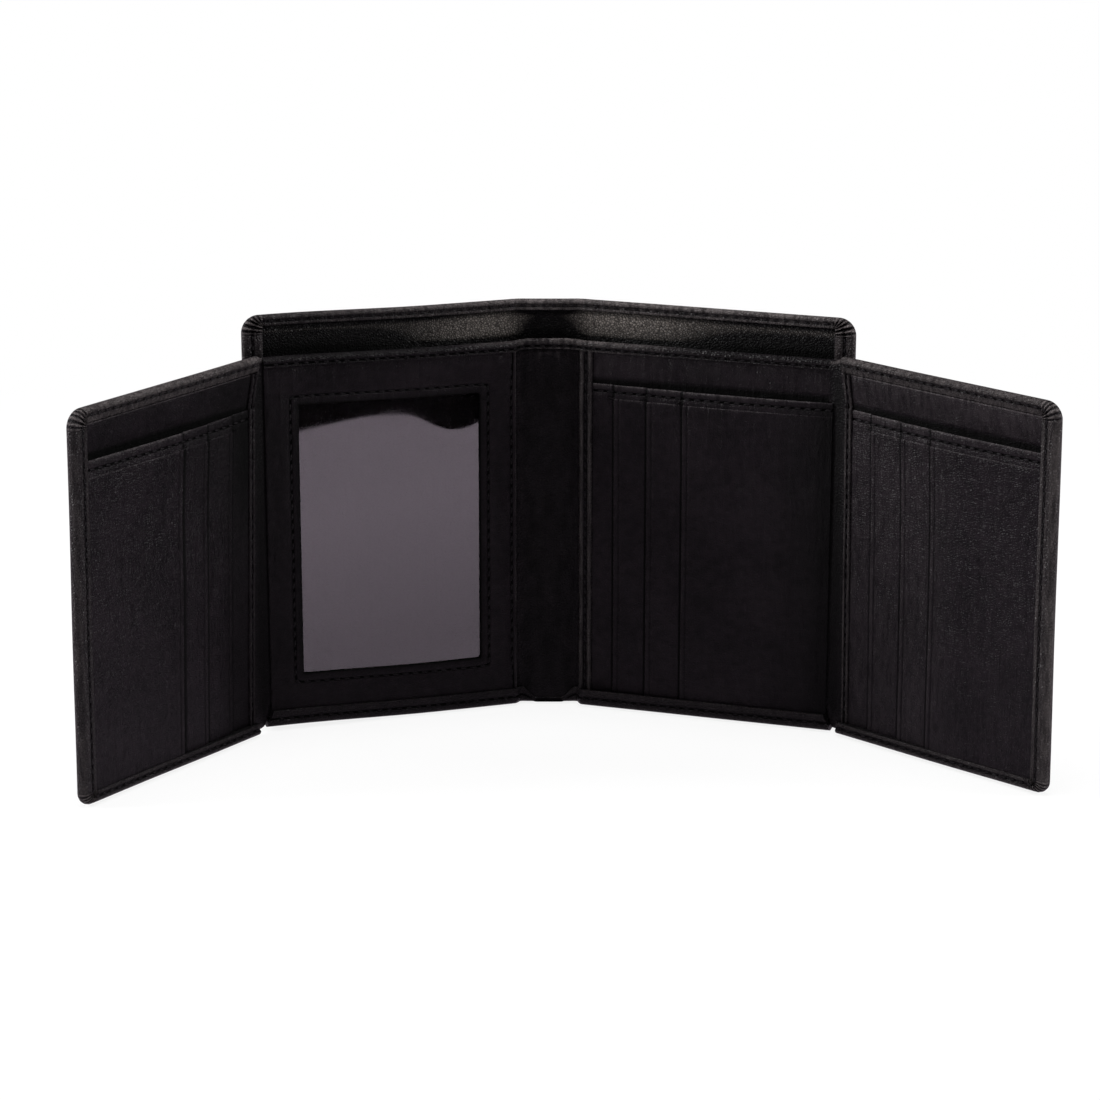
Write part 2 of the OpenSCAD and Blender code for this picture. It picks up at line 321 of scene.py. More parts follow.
WEAR_AND_SHADING = {
    Side.LEFT: WearAndShading(
        cover_hem=(0.3, 0.3, 0.25, 1.3), wing_hem=(0.25, 0.22, 0.65, 0.65), flap=(0.12, 1.0),
        lining_top=Fade(0.6, 0.2, 4.0, 36.0), lining_foot=Fade(0.6, -0.95, 10.0, 60.0),
        wall=Fade(0.23, -0.32, 6.0, 32.0), wall_groove=1.0,
        pockets=Tone(shade=0.7, strip=-0.15, gaps=(1.4, 2.2)),
    ),
    Side.RIGHT: WearAndShading(
        cover_hem=(0.3, 0.5, 0.8, 1.1), wing_hem=(0.4, 0.5, 0.55, 0.55), flap=(0.3, 0.6),
        lining_top=Fade(0.78, 0.32, 10.0, 50.0), lining_foot=Fade(0.36, -0.84, 16.0, 60.0),
        wall=Fade(0.58, -0.12, 0.0, 40.0), wall_groove=0.6,
        pockets=Tone(sheen=0.14, strip=0.25),
    ),
}


@dataclass(frozen=True)
class Stand:
    """How one half and its wing stand at rest, which sets flat work in place.

    The sag is how far the wing hangs out at its fold and at its tip, for the foot and the top.
    """

    side: Side
    sizes: Sizes
    lift: float
    turn: float
    sag: tuple[Point, Point]
    raised: float = 0.0
    bend: float = 3.0

    @property
    def wear_and_shading(self) -> WearAndShading:
        """How this side is rubbed, and the light and shade painted on it."""
        return WEAR_AND_SHADING[self.side]

    def _stood(self, u: float, y: float, z: float, angle: float) -> Vector:
        """Turn a point about the spine fold and mirror it to its side.

        Args:
            u: Distance from the fold line.
            y: Place across the half, away from the reader.
            z: Height.
            angle: Turn in radians.

        Returns:
            The point in metres.
        """
        c, s = math.cos(angle), math.sin(angle)
        x = self.sizes.spine_half + u * c + y * s
        return Vector((self.side.sign * x, self.sizes.fold_y - u * s + y * c, z)) * MM

    def rigid(self, p: Vector) -> Vector:
        """Set a point of a flat, stiff piece on the half."""
        return self._stood(p.x, p.y, p.z, math.radians(self.lift))

    def half(self, p: Vector) -> Vector:
        """Set a point of a leather piece on the half, which isn't quite flat."""
        return self.rigid(Vector((p.x, p.y + self.slack(p.x, p.z), p.z + self.level(p.x))))

    def skin(self, p: Vector) -> Vector:
        """Set a point of a piece that runs on round the spine fold."""
        angle = math.radians(self.lift) * smooth(-self.bend, self.bend, p.x)
        return self._stood(p.x, p.y + self.slack(p.x, p.z), p.z + self.level(p.x), angle)

    def wing(self, p: Vector) -> Vector:
        """Set a point on the wing, whose leather bows a little.

        Args:
            p: Distance from the wing's fold, depth behind its front, and height.

        Returns:
            The point in metres.
        """
        seed = 7.3 if self.side is Side.LEFT else 3.9
        bow = 0.4 * noise.noise(Vector((p.x / 47.0, p.z / 52.0, seed))) * smooth(0.0, 25.0, p.x)
        u, across = self.hinged(p.x + self.drop(p.x, p.z), p.y + bow)
        return self.rigid(Vector((u, across, p.z)))

    def hinged(self, x: float, d: float) -> Point:
        """Find where a point of the wing lies on its half.

        Args:
            x: Distance from the wing's fold.
            d: Depth behind the wing's front.

        Returns:
            Distance from the spine fold and place across the half.
        """
        t = math.radians(self.turn)
        return (
            self.sizes.wing_u + x * math.cos(t) + d * math.sin(t),
            self.sizes.depth(self.sizes.wing_v) - x * math.sin(t) + d * math.cos(t),
        )

    def drop(self, x: float, z: float) -> float:
        """Say how far the soft hinge lets the wing hang out at a point.

        Args:
            x: Distance from the wing's fold.
            z: Height.

        Returns:
            The distance.
        """
        far, high = x / self.sizes.wing_len, z / self.sizes.wing_h
        foot, top = (between(*pair, far) for pair in self.sag)
        return between(foot, top, high)

    def level(self, u: float) -> float:
        """Say how far the half's outer end stands up off the floor there."""
        return self.raised * smooth(25.0, 70.0, u)

    def slack(self, u: float, z: float) -> float:
        """Say how far the leather of the half stands off its plane there."""
        seed = 1.7 if self.side is Side.LEFT else 5.1
        return 0.16 * noise.noise(Vector((u / 41.0, z / 46.0, seed))) * smooth(2.0, 20.0, u)


@dataclass(frozen=True)
class Finish:
    """A material of the wallet, and the name of its slot."""

    slot: str
    material: bpy.types.Material


class Work:
    """A piece on the bench, cut and shaped in millimetres before it is set in place."""

    def __init__(self) -> None:
        """Start with an empty mesh that can carry rubbed edges and painted shading."""
        self.bm = bmesh.new()
        self.rub_and_shading = self.bm.verts.layers.float.new("rub_and_shading")

    def lattice(self, columns: Columns) -> list[list[Vert]]:
        """Lay a grid and move each crossing to its place.

        Args:
            columns: Place, and rub with painted shading, of each crossing, column by column.

        Returns:
            The vertices, column by column.
        """
        wide, high = len(columns) - 1, len(columns[0]) - 1
        made = bmesh.ops.create_grid(self.bm, x_segments=wide, y_segments=high, size=1.0)
        grid: list[list[Vert]] = [[None] * len(column) for column in columns]
        for vert in made["verts"]:
            i = round((vert.co.x + 1.0) / 2.0 * wide)
            j = round((vert.co.y + 1.0) / 2.0 * high)
            grid[i][j] = vert
            vert.co, vert[self.rub_and_shading] = columns[i][j]
        return grid

    def fill(self, verts: Sequence[Vert]) -> None:
        """Close a flat opening with one face.

        Args:
            verts: Vertices round the opening, in order.
        """
        pairs = zip(verts, list(verts[1:]) + [verts[0]])
        edges = [self.bm.edges.get((a, b)) or self.bm.edges.new((a, b)) for a, b in pairs]
        bmesh.ops.edgeloop_fill(self.bm, edges=edges)

    def cap(self) -> None:
        """Close the open ends."""
        edges = [edge for edge in self.bm.edges if edge.is_boundary]
        bmesh.ops.holes_fill(self.bm, edges=edges, sides=0)

    def weld(self, grid: Sequence[Sequence[Vert]]) -> None:
        """Join the rows of a grid that lie on each other."""
        verts = [vert for column in grid for vert in column]
        bmesh.ops.remove_doubles(self.bm, verts=verts, dist=WELD)

    def tube(self, columns: Columns) -> "Work":
        """Lay a grid whose first and last edges meet, and close its ends.

        Args:
            columns: Place, and rub with painted shading, of each crossing.

        Returns:
            This work.
        """
        self.weld(self.lattice(columns))
        self.cap()
        return self

    def sheet(self, columns: Columns, thickness: float) -> "Work":
        """Lay a sheet that has its thickness away from the reader.

        Args:
            columns: Place, and rub with painted shading, of each crossing.
            thickness: Thickness of the sheet.

        Returns:
            This work.
        """
        self.lattice(columns)
        self.bm.normal_update()
        bmesh.ops.solidify(self.bm, geom=self.bm.faces[:], thickness=thickness)
        return self

    def cut(self, axis: Vector, values: Sequence[float]) -> None:
        """Cut lines across the piece, so that it can bend.

        Args:
            axis: Direction that the values are measured along.
            values: Where the cuts lie.
        """
        for value in values:
            geom = self.bm.verts[:] + self.bm.edges[:] + self.bm.faces[:]
            bmesh.ops.bisect_plane(
                self.bm, geom=geom, dist=CUT, plane_co=axis * value, plane_no=axis
            )

    def piece(self, name: str, place: Place, finish: Finish, *nodes: str) -> bpy.types.Object:
        """Set the work in place as a finished object.

        Args:
            name: Name of the object.
            place: Turns a flat point into its place in metres.
            finish: Finish of the piece.
            *nodes: Solids that the piece stands for.

        Returns:
            The object.
        """
        for vert in self.bm.verts:
            vert.co = place(vert.co)
        bmesh.ops.remove_doubles(self.bm, verts=self.bm.verts[:], dist=MERGE)
        bmesh.ops.recalc_face_normals(self.bm, faces=self.bm.faces[:])
        self.bm.normal_update()
        for edge in self.bm.edges:
            edge.smooth = edge.calc_face_angle(0.0) < math.radians(SHARP)
        for face in self.bm.faces:
            face.smooth = True
        mesh = bpy.data.meshes.new(name)
        self.bm.to_mesh(mesh)
        self.bm.free()
        mesh.materials.append(finish.material)
        obj = bpy.data.objects.new(name, mesh)
        bpy.context.scene.collection.objects.link(obj)
        LOG.info("%s: %d faces", name, len(mesh.polygons))
        if nodes:
            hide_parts(*nodes)
        return obj

    def ride(self, body: str, name: str, place: Place, finish: Finish, *nodes: str) -> None:
        """Set the work in place on the body that carries it."""
        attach(self.piece(name, place, finish, *nodes), body)


@dataclass(frozen=True)
class Stitch:
    """One stitch of a machine-sewn seam, sunk into its groove."""

    pitch: float = 2.9
    length: float = 2.0
    width: float = 0.62
    height: float = 0.5
    slant: float = 6.0

    def seam(self, *paths: Sequence[Vector]) -> Work:
        """Lay stitches along paths on a sheet that faces the reader.

        Args:
            *paths: Points along each groove.

        Returns:
            The stitches.
        """
        work = Work()
        for path in paths:
            ahead = self.pitch / 2.0
            for a, b in zip(path, path[1:]):
                span = (b - a).length
                if span < TINY:
                    continue
                run = (b - a) / span
                while ahead <= span:
                    self._one(work, a + run * ahead, run)
                    ahead += self.pitch
                ahead -= span
        return work

    def _one(self, work: Work, centre: Vector, run: Vector) -> None:
        """Lay one stitch.

        Args:
            work: Piece that takes the stitch.
            centre: Middle of the stitch.
            run: Direction of the seam.
        """
        run = Matrix.Rotation(math.radians(self.slant), 3, OUT) @ run
        out = (OUT - run * OUT.dot(run)).normalized()
        across = out.cross(run)
        frame_of = Matrix((across * self.width / 2, out * self.height / 2, run * self.length / 2))
        matrix = Matrix.Translation(centre) @ frame_of.transposed().to_4x4()
        bmesh.ops.create_uvsphere(work.bm, u_segments=8, v_segments=5, radius=1.0, matrix=matrix)


@dataclass(frozen=True)
class Groove:
    """The groove that a seam presses into leather, with painted shade in it."""

    half: float = 0.6
    shoulder: float = 0.36
    floor: float = 0.2
    dip: float = 0.08
    depth: float = 0.34

    def rows(
        self, at: float, before: float = 0.1, after: float = 0.1, part: float = 1.0
    ) -> list[Row]:
        """Draw the section of the groove.

        Args:
            at: Place of the seam.
            before: Rub and painted shading of the leather before the groove.
            after: Rub and painted shading of the leather after it.
            part: How much of the groove there is, from 0 to 1.

        Returns:
            Place, depth, and rub with painted shading of each row.
        """
        shoulder, floor = (self.dip * part, -0.1 * part), (self.depth * part, -part)
        return [
            (at - self.half, 0.0, before), (at - self.shoulder, *shoulder),
            (at - self.floor, *floor), (at + self.floor, *floor),
            (at + self.shoulder, *shoulder), (at + self.half, 0.0, after),
        ]


@dataclass
class Hem:
    """A turned edge, ruled between an outer outline and an inner one."""

    outer: list[Point] = field(default_factory=list)
    inner: list[Point] = field(default_factory=list)
    seam: list[float] = field(default_factory=list)
    sink: list[float] = field(default_factory=list)
    gather: list[float] = field(default_factory=list)
    wear_and_shading: list[float] = field(default_factory=list)
    pleat: float = 0.3

    def add(
        self, outer: Sequence[Point], inner: Sequence[Point], first: Row, last: Row, gathers: int
    ) -> None:
        """Add a stretch of the edge.

        Args:
            outer: Points of the outer outline.
            inner: Points of the inner outline, as many.
            first: Place of the seam across the edge, how far the cut edge is drawn back, and how
                much rub and painted highlight it has, where the stretch starts.
            last: The same where the stretch ends.
            gathers: Number of gathers, or 0 where the edge is straight.
        """
        for i, (o, n) in enumerate(zip(outer, inner)):
            t = i / (len(outer) - 1)
            if self.outer and math.dist(o, self.outer[-1]) < TINY:
                continue
            self.outer.append(o)
            self.inner.append(n)
            for values, a, b in zip((self.seam, self.sink, self.wear_and_shading), first, last):
                values.append(between(a, b, t))
            swing = math.cos(2.0 * math.pi * (gathers * t + 0.12 * math.sin(9.0 * t)))
            self.gather.append(-swing * math.sin(math.pi * t) ** 0.6 if gathers else 0.0)

    def at(self, i: int, w: float) -> Point:
        """Find a point across the edge.

        Args:
            i: Column along the edge.
            w: Distance from the outer outline.

        Returns:
            The point.
        """
        o, n = self.outer[i], self.inner[i]
        return along(o, n, w / math.dist(o, n))

    def rows(self, i: int, front: float, back: float, board: float) -> list[Row]:
        """Draw the section of the turned edge, from its cut edge round to the back.

        Args:
            i: Column along the edge.
            front: Place of the front face.
            back: Place of the back face.
            board: Place of the sheet inside the edge.

        Returns:
            Distance from the outer outline, place across, and rub with painted shading of each row.
        """
        width = math.dist(self.outer[i], self.inner[i])
        sink = self.sink[i]
        k = min(1.0, width / 3.0)
        s = self.seam[i] * width
        fold = self.gather[i]
        lift = -self.pleat * fold
        wear_and_shading = self.wear_and_shading[i]
        # The seam's groove and the cut edge are painted dark as shade, and the rolled edge is
        # painted light as a highlight with its wear
        groove = min(0.35, 1.5 * wear_and_shading - 0.6)
        rows = [
            (width, board, 0.5 * wear_and_shading - 0.8),
            (width, front + sink + 0.3, 0.6 * wear_and_shading - 0.7),
            (width - 0.1 * k, front + sink + 0.1 + lift * 0.3, 0.5),
            (width - 0.35 * k, front + sink + lift * 0.6, 0.6),
            (s + 0.7 * k, front + 0.5 * sink + lift, 0.5),
            (s + 0.42 * k, front + 0.08 + 0.4 * sink + lift, 0.1),
            (s + 0.2 * k, front + 0.36 + 0.3 * sink + lift, groove),
            (s - 0.2 * k, front + 0.36 + 0.2 * sink + lift, groove),
            (s - 0.42 * k, front + 0.08 + lift, 0.1),
            (s - 0.7 * k, front + lift, 0.5),
        ]
        mid, r = (front + back) / 2.0, (back - front) / 2.0
        e = min(r, s - 0.75 * k)
        for n, rub_and_shading in enumerate((0.5, 0.8, 1.0, 1.0, 0.8, 0.6, 0.3, 0.1, 0.0)):
            a = math.pi / 2.0 - math.pi * n / 8.0
            y = mid - r * math.sin(a) + lift * max(0.0, math.sin(a)) * 0.6
            rows.append((e * (1.0 - math.cos(a)), y, rub_and_shading))
        rows.append((e + 1.0, back, 0.0))
        rows = [(w, y, rub_and_shading * wear_and_shading if rub_and_shading > 0.0 else rub_and_shading) for w, y, rub_and_shading in rows]
        # Gathers are painted lighter on their crests and darker in their folds, as light and shade
        return [(w, y, max(-1.0, min(1.0, rub_and_shading + 0.8 * fold))) for w, y, rub_and_shading in rows]

    def lay(self, work: Work, front: float, back: float, board: float) -> None:
        """Lay the turned edge, and the flat sheets in front and behind that it runs into.

        Args:
            work: Piece that takes the edge.
            front: Place of the edge's front face.
            back: Place of the back face.
            board: Place of the sheet inside the edge.
        """
        columns: Columns = []
        for i in range(len(self.outer)):
            rows = [(*self.at(i, w), y, rub_and_shading) for w, y, rub_and_shading in self.rows(i, front, back, board)]
            columns.append([(Vector((x, y, z)), rub_and_shading) for x, z, y, rub_and_shading in rows])
        grid = work.lattice(columns)
        work.fill([column[0] for column in grid])
        work.fill([column[-1] for column in grid])
        work.cap()

    def seam_path(self, y: float) -> list[Vector]:
        """Follow the seam.

        Args:
            y: Place across.

        Returns:
            Points along the seam.
        """
        path = []
        for i, part in enumerate(self.seam):
            x, z = self.at(i, part * math.dist(self.outer[i], self.inner[i]))
            path.append(Vector((x, y, z)))
        return path


@dataclass(frozen=True)
class EdgePlan:
    """Outline of a panel that is turned in at its foot, its far end and its top.

    Hems, seams, sinks and levels of wear and painted shading follow the edge, and the last level is
    at the near end.
    """

    x1: float
    height: float
    hems: Row
    radii: Point
    seams: Row
    sinks: Row
    xs: tuple[float, ...]
    pleat: float
    wear_and_shading_levels: tuple[float, float, float, float]

    def far(self) -> float:
        """Say where the straight part of the long edges ends."""
        return self.x1 - max(self.radii[0], self.radii[1], self.hems[1]) - 0.5

    def rises(self) -> list[float]:
        """List the heights that divide the far end's straight part.

        Returns:
            The heights.
        """
        low = max(self.radii[0], self.hems[0]) + 0.5
        high = self.height - max(self.radii[1], self.hems[2]) - 0.5
        return lines(low, high, 4.0)

    def hem(self) -> Hem:
        """Draw the whole edge from the foot round to the top.

        Returns:
            The turned edge.
        """
        foot, end, top = self.hems
        r0, r1 = self.radii
        zs, far, x1, h = self.rises(), self.far(), self.x1, self.height
        low = [(far, 0.0)] + arc((x1 - r0, r0), r0, -90.0, 0.0, 16) + [(x1, zs[0])]
        high = [(x1, zs[-1])] + arc((x1 - r1, h - r1), r1, 0.0, 90.0, 16) + [(far, h)]
        low_in = (far, foot), (x1 - end, foot), (x1 - end, zs[0])
        high_in = (x1 - end, zs[-1]), (x1 - end, h - top), (far, h - top)
        back = self.xs[::-1]
        stations = list(zip((*self.seams, self.seams[2]), (*self.sinks, self.sinks[2]), self.wear_and_shading_levels))
        # Outer points, inner points, stations at the stretch's ends, and gathers
        stretches = (
            ([(x, 0.0) for x in self.xs], [(x, foot) for x in self.xs], 0, 0, 0),
            (spread(low, 41), elbow(*low_in, 41), 0, 1, 7),
            ([(x1, z) for z in zs], [(x1 - end, z) for z in zs], 1, 1, 0),
            (spread(high, 97), elbow(*high_in, 97), 1, 2, 6),
            ([(x, h) for x in back], [(x, h - top) for x in back], 2, 3, 0),
        )
        hem = Hem(pleat=self.pleat)
        for outer, inner, first, last, gathers in stretches:
            hem.add(outer, inner, stations[first], stations[last], gathers)
        return hem


def srgb(code: str) -> tuple[float, float, float, float]:
    """Turn a colour as it is seen into the numbers that a shader takes.

    Args:
        code: Six hexadecimal digits.

    Returns:
        Linear red, green, blue and 1.
    """
    parts = [int(code[i:i + 2], 16) / 255.0 for i in (0, 2, 4)]
    linear = [c / 12.92 if c <= 0.04045 else ((c + 0.055) / 1.055) ** 2.4 for c in parts]
    return (*linear, 1.0)


class Graph:
    """The nodes of one material, or of the room."""

    def __init__(self, holder: bpy.types.Material | bpy.types.World) -> None:
        """Start without nodes.

        Args:
            holder: Material or world that the nodes belong to.
        """
        self.holder = holder
        holder.use_nodes = True
        self.tree = holder.node_tree
        self.tree.nodes.clear()

    def add(self, kind: str, inputs: dict | None = None, **settings: object) -> bpy.types.Node:
        """Add a node with its settings and links.

        Args:
            kind: Type of the node, without its common prefix.
            inputs: Values or sockets by input name or number.
            **settings: Properties of the node.

        Returns:
            The node.
        """
        node = self.tree.nodes.new("ShaderNode" + kind)
        for key, value in settings.items():
            setattr(node, key, value)
        for key, value in (inputs or {}).items():
            if isinstance(value, Socket):
                self.tree.links.new(value, node.inputs[key])
            else:
                node.inputs[key].default_value = value
        return node

    def maths(self, operation: str, a: object, b: object) -> Socket:
        """Work out one sum and return its socket."""
        return self.add("Math", {0: a, 1: b}, operation=operation).outputs[0]

    def mix(self, factor: object, a: object, b: object) -> Socket:
        """Mix two colours and return the socket of the result."""
        return self.add("Mix", {0: factor, 6: a, 7: b}, data_type="RGBA").outputs[2]

    def ranged(self, value: object, low: float, high: float, first: float, last: float) -> Socket:
        """Move a value from one range to another and return its socket."""
        return self.add("MapRange", {0: value, 1: low, 2: high, 3: first, 4: last}).outputs[0]

    def noise(self, where: Socket, scale: float, detail: float, distortion: float = 0.0) -> Socket:
        """Draw soft noise and return its socket."""
        inputs = {"Vector": where, "Scale": scale, "Detail": detail, "Distortion": distortion}
        return self.add("TexNoise", inputs).outputs["Fac"]

    def millimetres(self, stretch: Row = (1.0, 1.0, 1.0)) -> Socket:
        """Read the piece's own coordinates in millimetres.

        Args:
            stretch: How much finer the pattern is along each axis.

        Returns:
            Socket of the coordinates.
        """
        where = self.add("TexCoord").outputs["Object"]
        scale = tuple(1000.0 * s for s in stretch)
        return self.add("Mapping", {"Vector": where, "Scale": scale}).outputs[0]

    def close(self, shader: Socket, kind: str = "OutputMaterial") -> object:
        """Lead a shader to the surface and return the material or world."""
        self.add(kind, {"Surface": shader})
        return self.holder


@dataclass(frozen=True)
class Leather:
    """A dyed leather with its grain, its creases, its rubbed edges, and painted light and shade."""

    name: str
    dark: str
    light: str
    rubbed_and_lit: str
    grain: float
    relief: float
    crease: float
    pit: float
    gloss: tuple[float, float]
    specular: float

    def build(self) -> bpy.types.Material:
        """Make the material.

        Returns:
            The material.
        """
        g = Graph(bpy.data.materials.new(self.name))
        where = g.millimetres()
        # Broad clouding where the dye took unevenly, and smaller mottling
        cloud, mottle = g.noise(where, 0.055, 3.0), g.noise(where, 0.45, 3.0)
        # Pebbled grain, drawn a little coarser than real so that it shows at this distance
        cells = {"Vector": where, "Scale": 1.0 / self.grain}
        cell = g.add("TexVoronoi", cells, feature="DISTANCE_TO_EDGE").outputs["Distance"]
        pebble = g.ranged(cell, 0.0, 0.35, 0.0, 1.0)
        pore = g.noise(where, 1.6 / self.grain, 2.0)
        # Long soft creases that run up the sheet
        fold = g.noise(g.millimetres((0.34, 0.34, 0.075)), 1.0, 3.0, 0.6)
        # Short crinkles across the turned edges
        crinkle = g.noise(g.millimetres((0.9, 0.9, 0.14)), 1.0, 2.0)
        rub_and_shading = g.add("Attribute", attribute_name="rub_and_shading").outputs["Fac"]
        # Fine wrinkles that lie across the sheet, in patches
        wrinkle = g.noise(g.millimetres((0.22, 0.22, 0.8)), 1.0, 3.0)
        wrinkle = g.maths("MULTIPLY", wrinkle, g.ranged(cloud, 0.47, 0.6, 0.0, self.crease * 0.4))
        speck = g.maths("MULTIPLY", g.ranged(pore, 0.35, 0.7, 0.0, 1.0), 0.35)
        tone = g.maths("ADD", g.ranged(cloud, 0.3, 0.7, 0.0, 0.75), speck)
        tone = g.maths("ADD", tone, g.ranged(mottle, 0.33, 0.67, -0.35, 0.35))
        base = g.mix(tone, srgb(self.dark), srgb(self.light))
        # Edges that hands have rubbed are greyer and a little shinier, and the same grey is painted
        # where light catches an edge, as a highlight
        worn_and_lit = g.maths("MULTIPLY", rub_and_shading, g.ranged(crinkle, 0.38, 0.6, 0.15 + 0.7 * self.pit, 1.0))
        colour = g.mix(worn_and_lit, base, srgb(self.rubbed_and_lit))
        # The valleys of the grain stay dark, and below nought the colour goes black as painted
        # shade, in crevices, gaps and shaded parts
        colour = g.mix(g.ranged(pebble, 0.0, 0.7, 1.0 - self.pit, 1.0), srgb("040304"), colour)
        painted_shade = g.ranged(rub_and_shading, -1.0, 0.0, 1.0, 0.0)
        colour = g.mix(painted_shade, colour, srgb("000000"))
        shine = g.maths("MULTIPLY", rub_and_shading, 0.08)
        rough = g.maths("SUBTRACT", g.ranged(pore, 0.3, 0.7, *self.gloss), shine)
        rough = g.maths("ADD", rough, g.maths("MULTIPLY", painted_shade, 0.35))
        height = g.maths("ADD", pebble, g.maths("MULTIPLY", pore, 0.5))
        height = g.maths("ADD", height, g.maths("MULTIPLY", fold, self.crease))
        height = g.maths("ADD", height, wrinkle)
        crumple = g.maths("MULTIPLY", g.maths("MULTIPLY", rub_and_shading, crinkle), 1.8)
        height = g.maths("ADD", height, crumple)
        bump = g.add("Bump", {"Height": height, "Strength": 1.0, "Distance": self.relief * MM})
        shader = g.add("BsdfPrincipled", {
            "Base Color": colour, "Roughness": rough, "Normal": bump.outputs[0],
            "Specular IOR Level": self.specular,
        })
        return g.close(shader.outputs[0])


@dataclass(frozen=True)
class ClearFilm:
    """Soft clear film with a faint haze and the dust of use."""

    name: str = "clear_vinyl_film"
    tint: str = "f4f1f4"

    def build(self) -> bpy.types.Material:
        """Make the material.

        Returns:
            The material.
        """
        g = Graph(bpy.data.materials.new(self.name))
        # Haze and dust, which break the reflection a little
        haze = g.noise(g.millimetres(), 0.09, 4.0)
        shader = g.add("BsdfPrincipled", {
            "Base Color": srgb(self.tint), "Roughness": g.ranged(haze, 0.3, 0.75, 0.01, 0.04),
            "IOR": 1.63, "Transmission Weight": 1.0,
        })
        return g.close(shader.outputs[0])


@dataclass(frozen=True)
class SewingThread:
    """Waxed black thread with a visible twist."""

    name: str = "black_thread"
    dark: str = "0a080a"
    light: str = "171417"

    def build(self) -> bpy.types.Material:
        """Make the material.

        Returns:
            The material.
        """
        g = Graph(bpy.data.materials.new(self.name))
        # Plies of the thread, about a millimetre a turn
        plies = {"Vector": g.millimetres(), "Scale": 0.6, "Distortion": 1.5}
        ply = g.add("TexWave", plies, bands_direction="DIAGONAL").outputs["Fac"]
        bump = g.add("Bump", {"Height": ply, "Strength": 0.6, "Distance": 0.08 * MM})
        shader = g.add("BsdfPrincipled", {
            "Base Color": g.mix(ply, srgb(self.dark), srgb(self.light)),
            "Roughness": g.ranged(ply, 0.0, 1.0, 0.62, 0.45),
            "Normal": bump.outputs[0], "Specular IOR Level": 0.1,
        })
        return g.close(shader.outputs[0])


class Finishes:
    """The finishes of the wallet, made once."""

    def __init__(self) -> None:
        """Make the materials."""
        # Black cover leather: almost no colour, a low soft sheen, greyer on turned edges from wear
        # and painted highlights
        self.cover = Finish("cover_leather", Leather(
            "smooth_black_leather", dark="0a080a", light="151114", rubbed_and_lit="5e5858", grain=0.8,
            relief=0.16, crease=4.2, pit=0.35, gloss=(0.27, 0.42), specular=0.085,
        ).build())
        # Thin pocket leather: finer and flatter grain
        self.pocket = Finish("pocket_leather", Leather(
            "thin_black_leather", dark="0b080b", light="181317", rubbed_and_lit="454042", grain=0.65,
            relief=0.1, crease=6.5, pit=0.25, gloss=(0.28, 0.42), specular=0.085,
        ).build())
        # Lining leather: deep grain that catches the light, and a light grey for the painted light
        # near the spine
        self.lining = Finish("lining", Leather(
            "grained_lining_leather", dark="050405", light="0c0b0b", rubbed_and_lit="8c847f", grain=0.72,
            relief=0.25, crease=0.2, pit=0.9, gloss=(0.36, 0.55), specular=0.1,
        ).build())
        self.film = Finish("film", ClearFilm().build())
        self.thread = Finish("thread", SewingThread().build())


def skin_lines(sizes: Sizes, end: float) -> list[float]:
    """List where a skin is divided along its length, finely at the spine fold.

    Args:
        sizes: Sizes of the wallet.
        end: Far end of the skin.

    Returns:
        Distances from the fold line.
    """
    return lines(-sizes.spine_half, 6.0, 0.75) + lines(6.0, end, 3.4)[1:]


@dataclass
class SidePart:
    """A part of one side of the wallet."""

    stand: Stand
    finishes: Finishes

    @property
    def sizes(self) -> Sizes:
        """Sizes of the wallet."""
        return self.stand.sizes

    @property
    def side(self) -> str:
        """Name of the side."""
        return self.stand.side.value


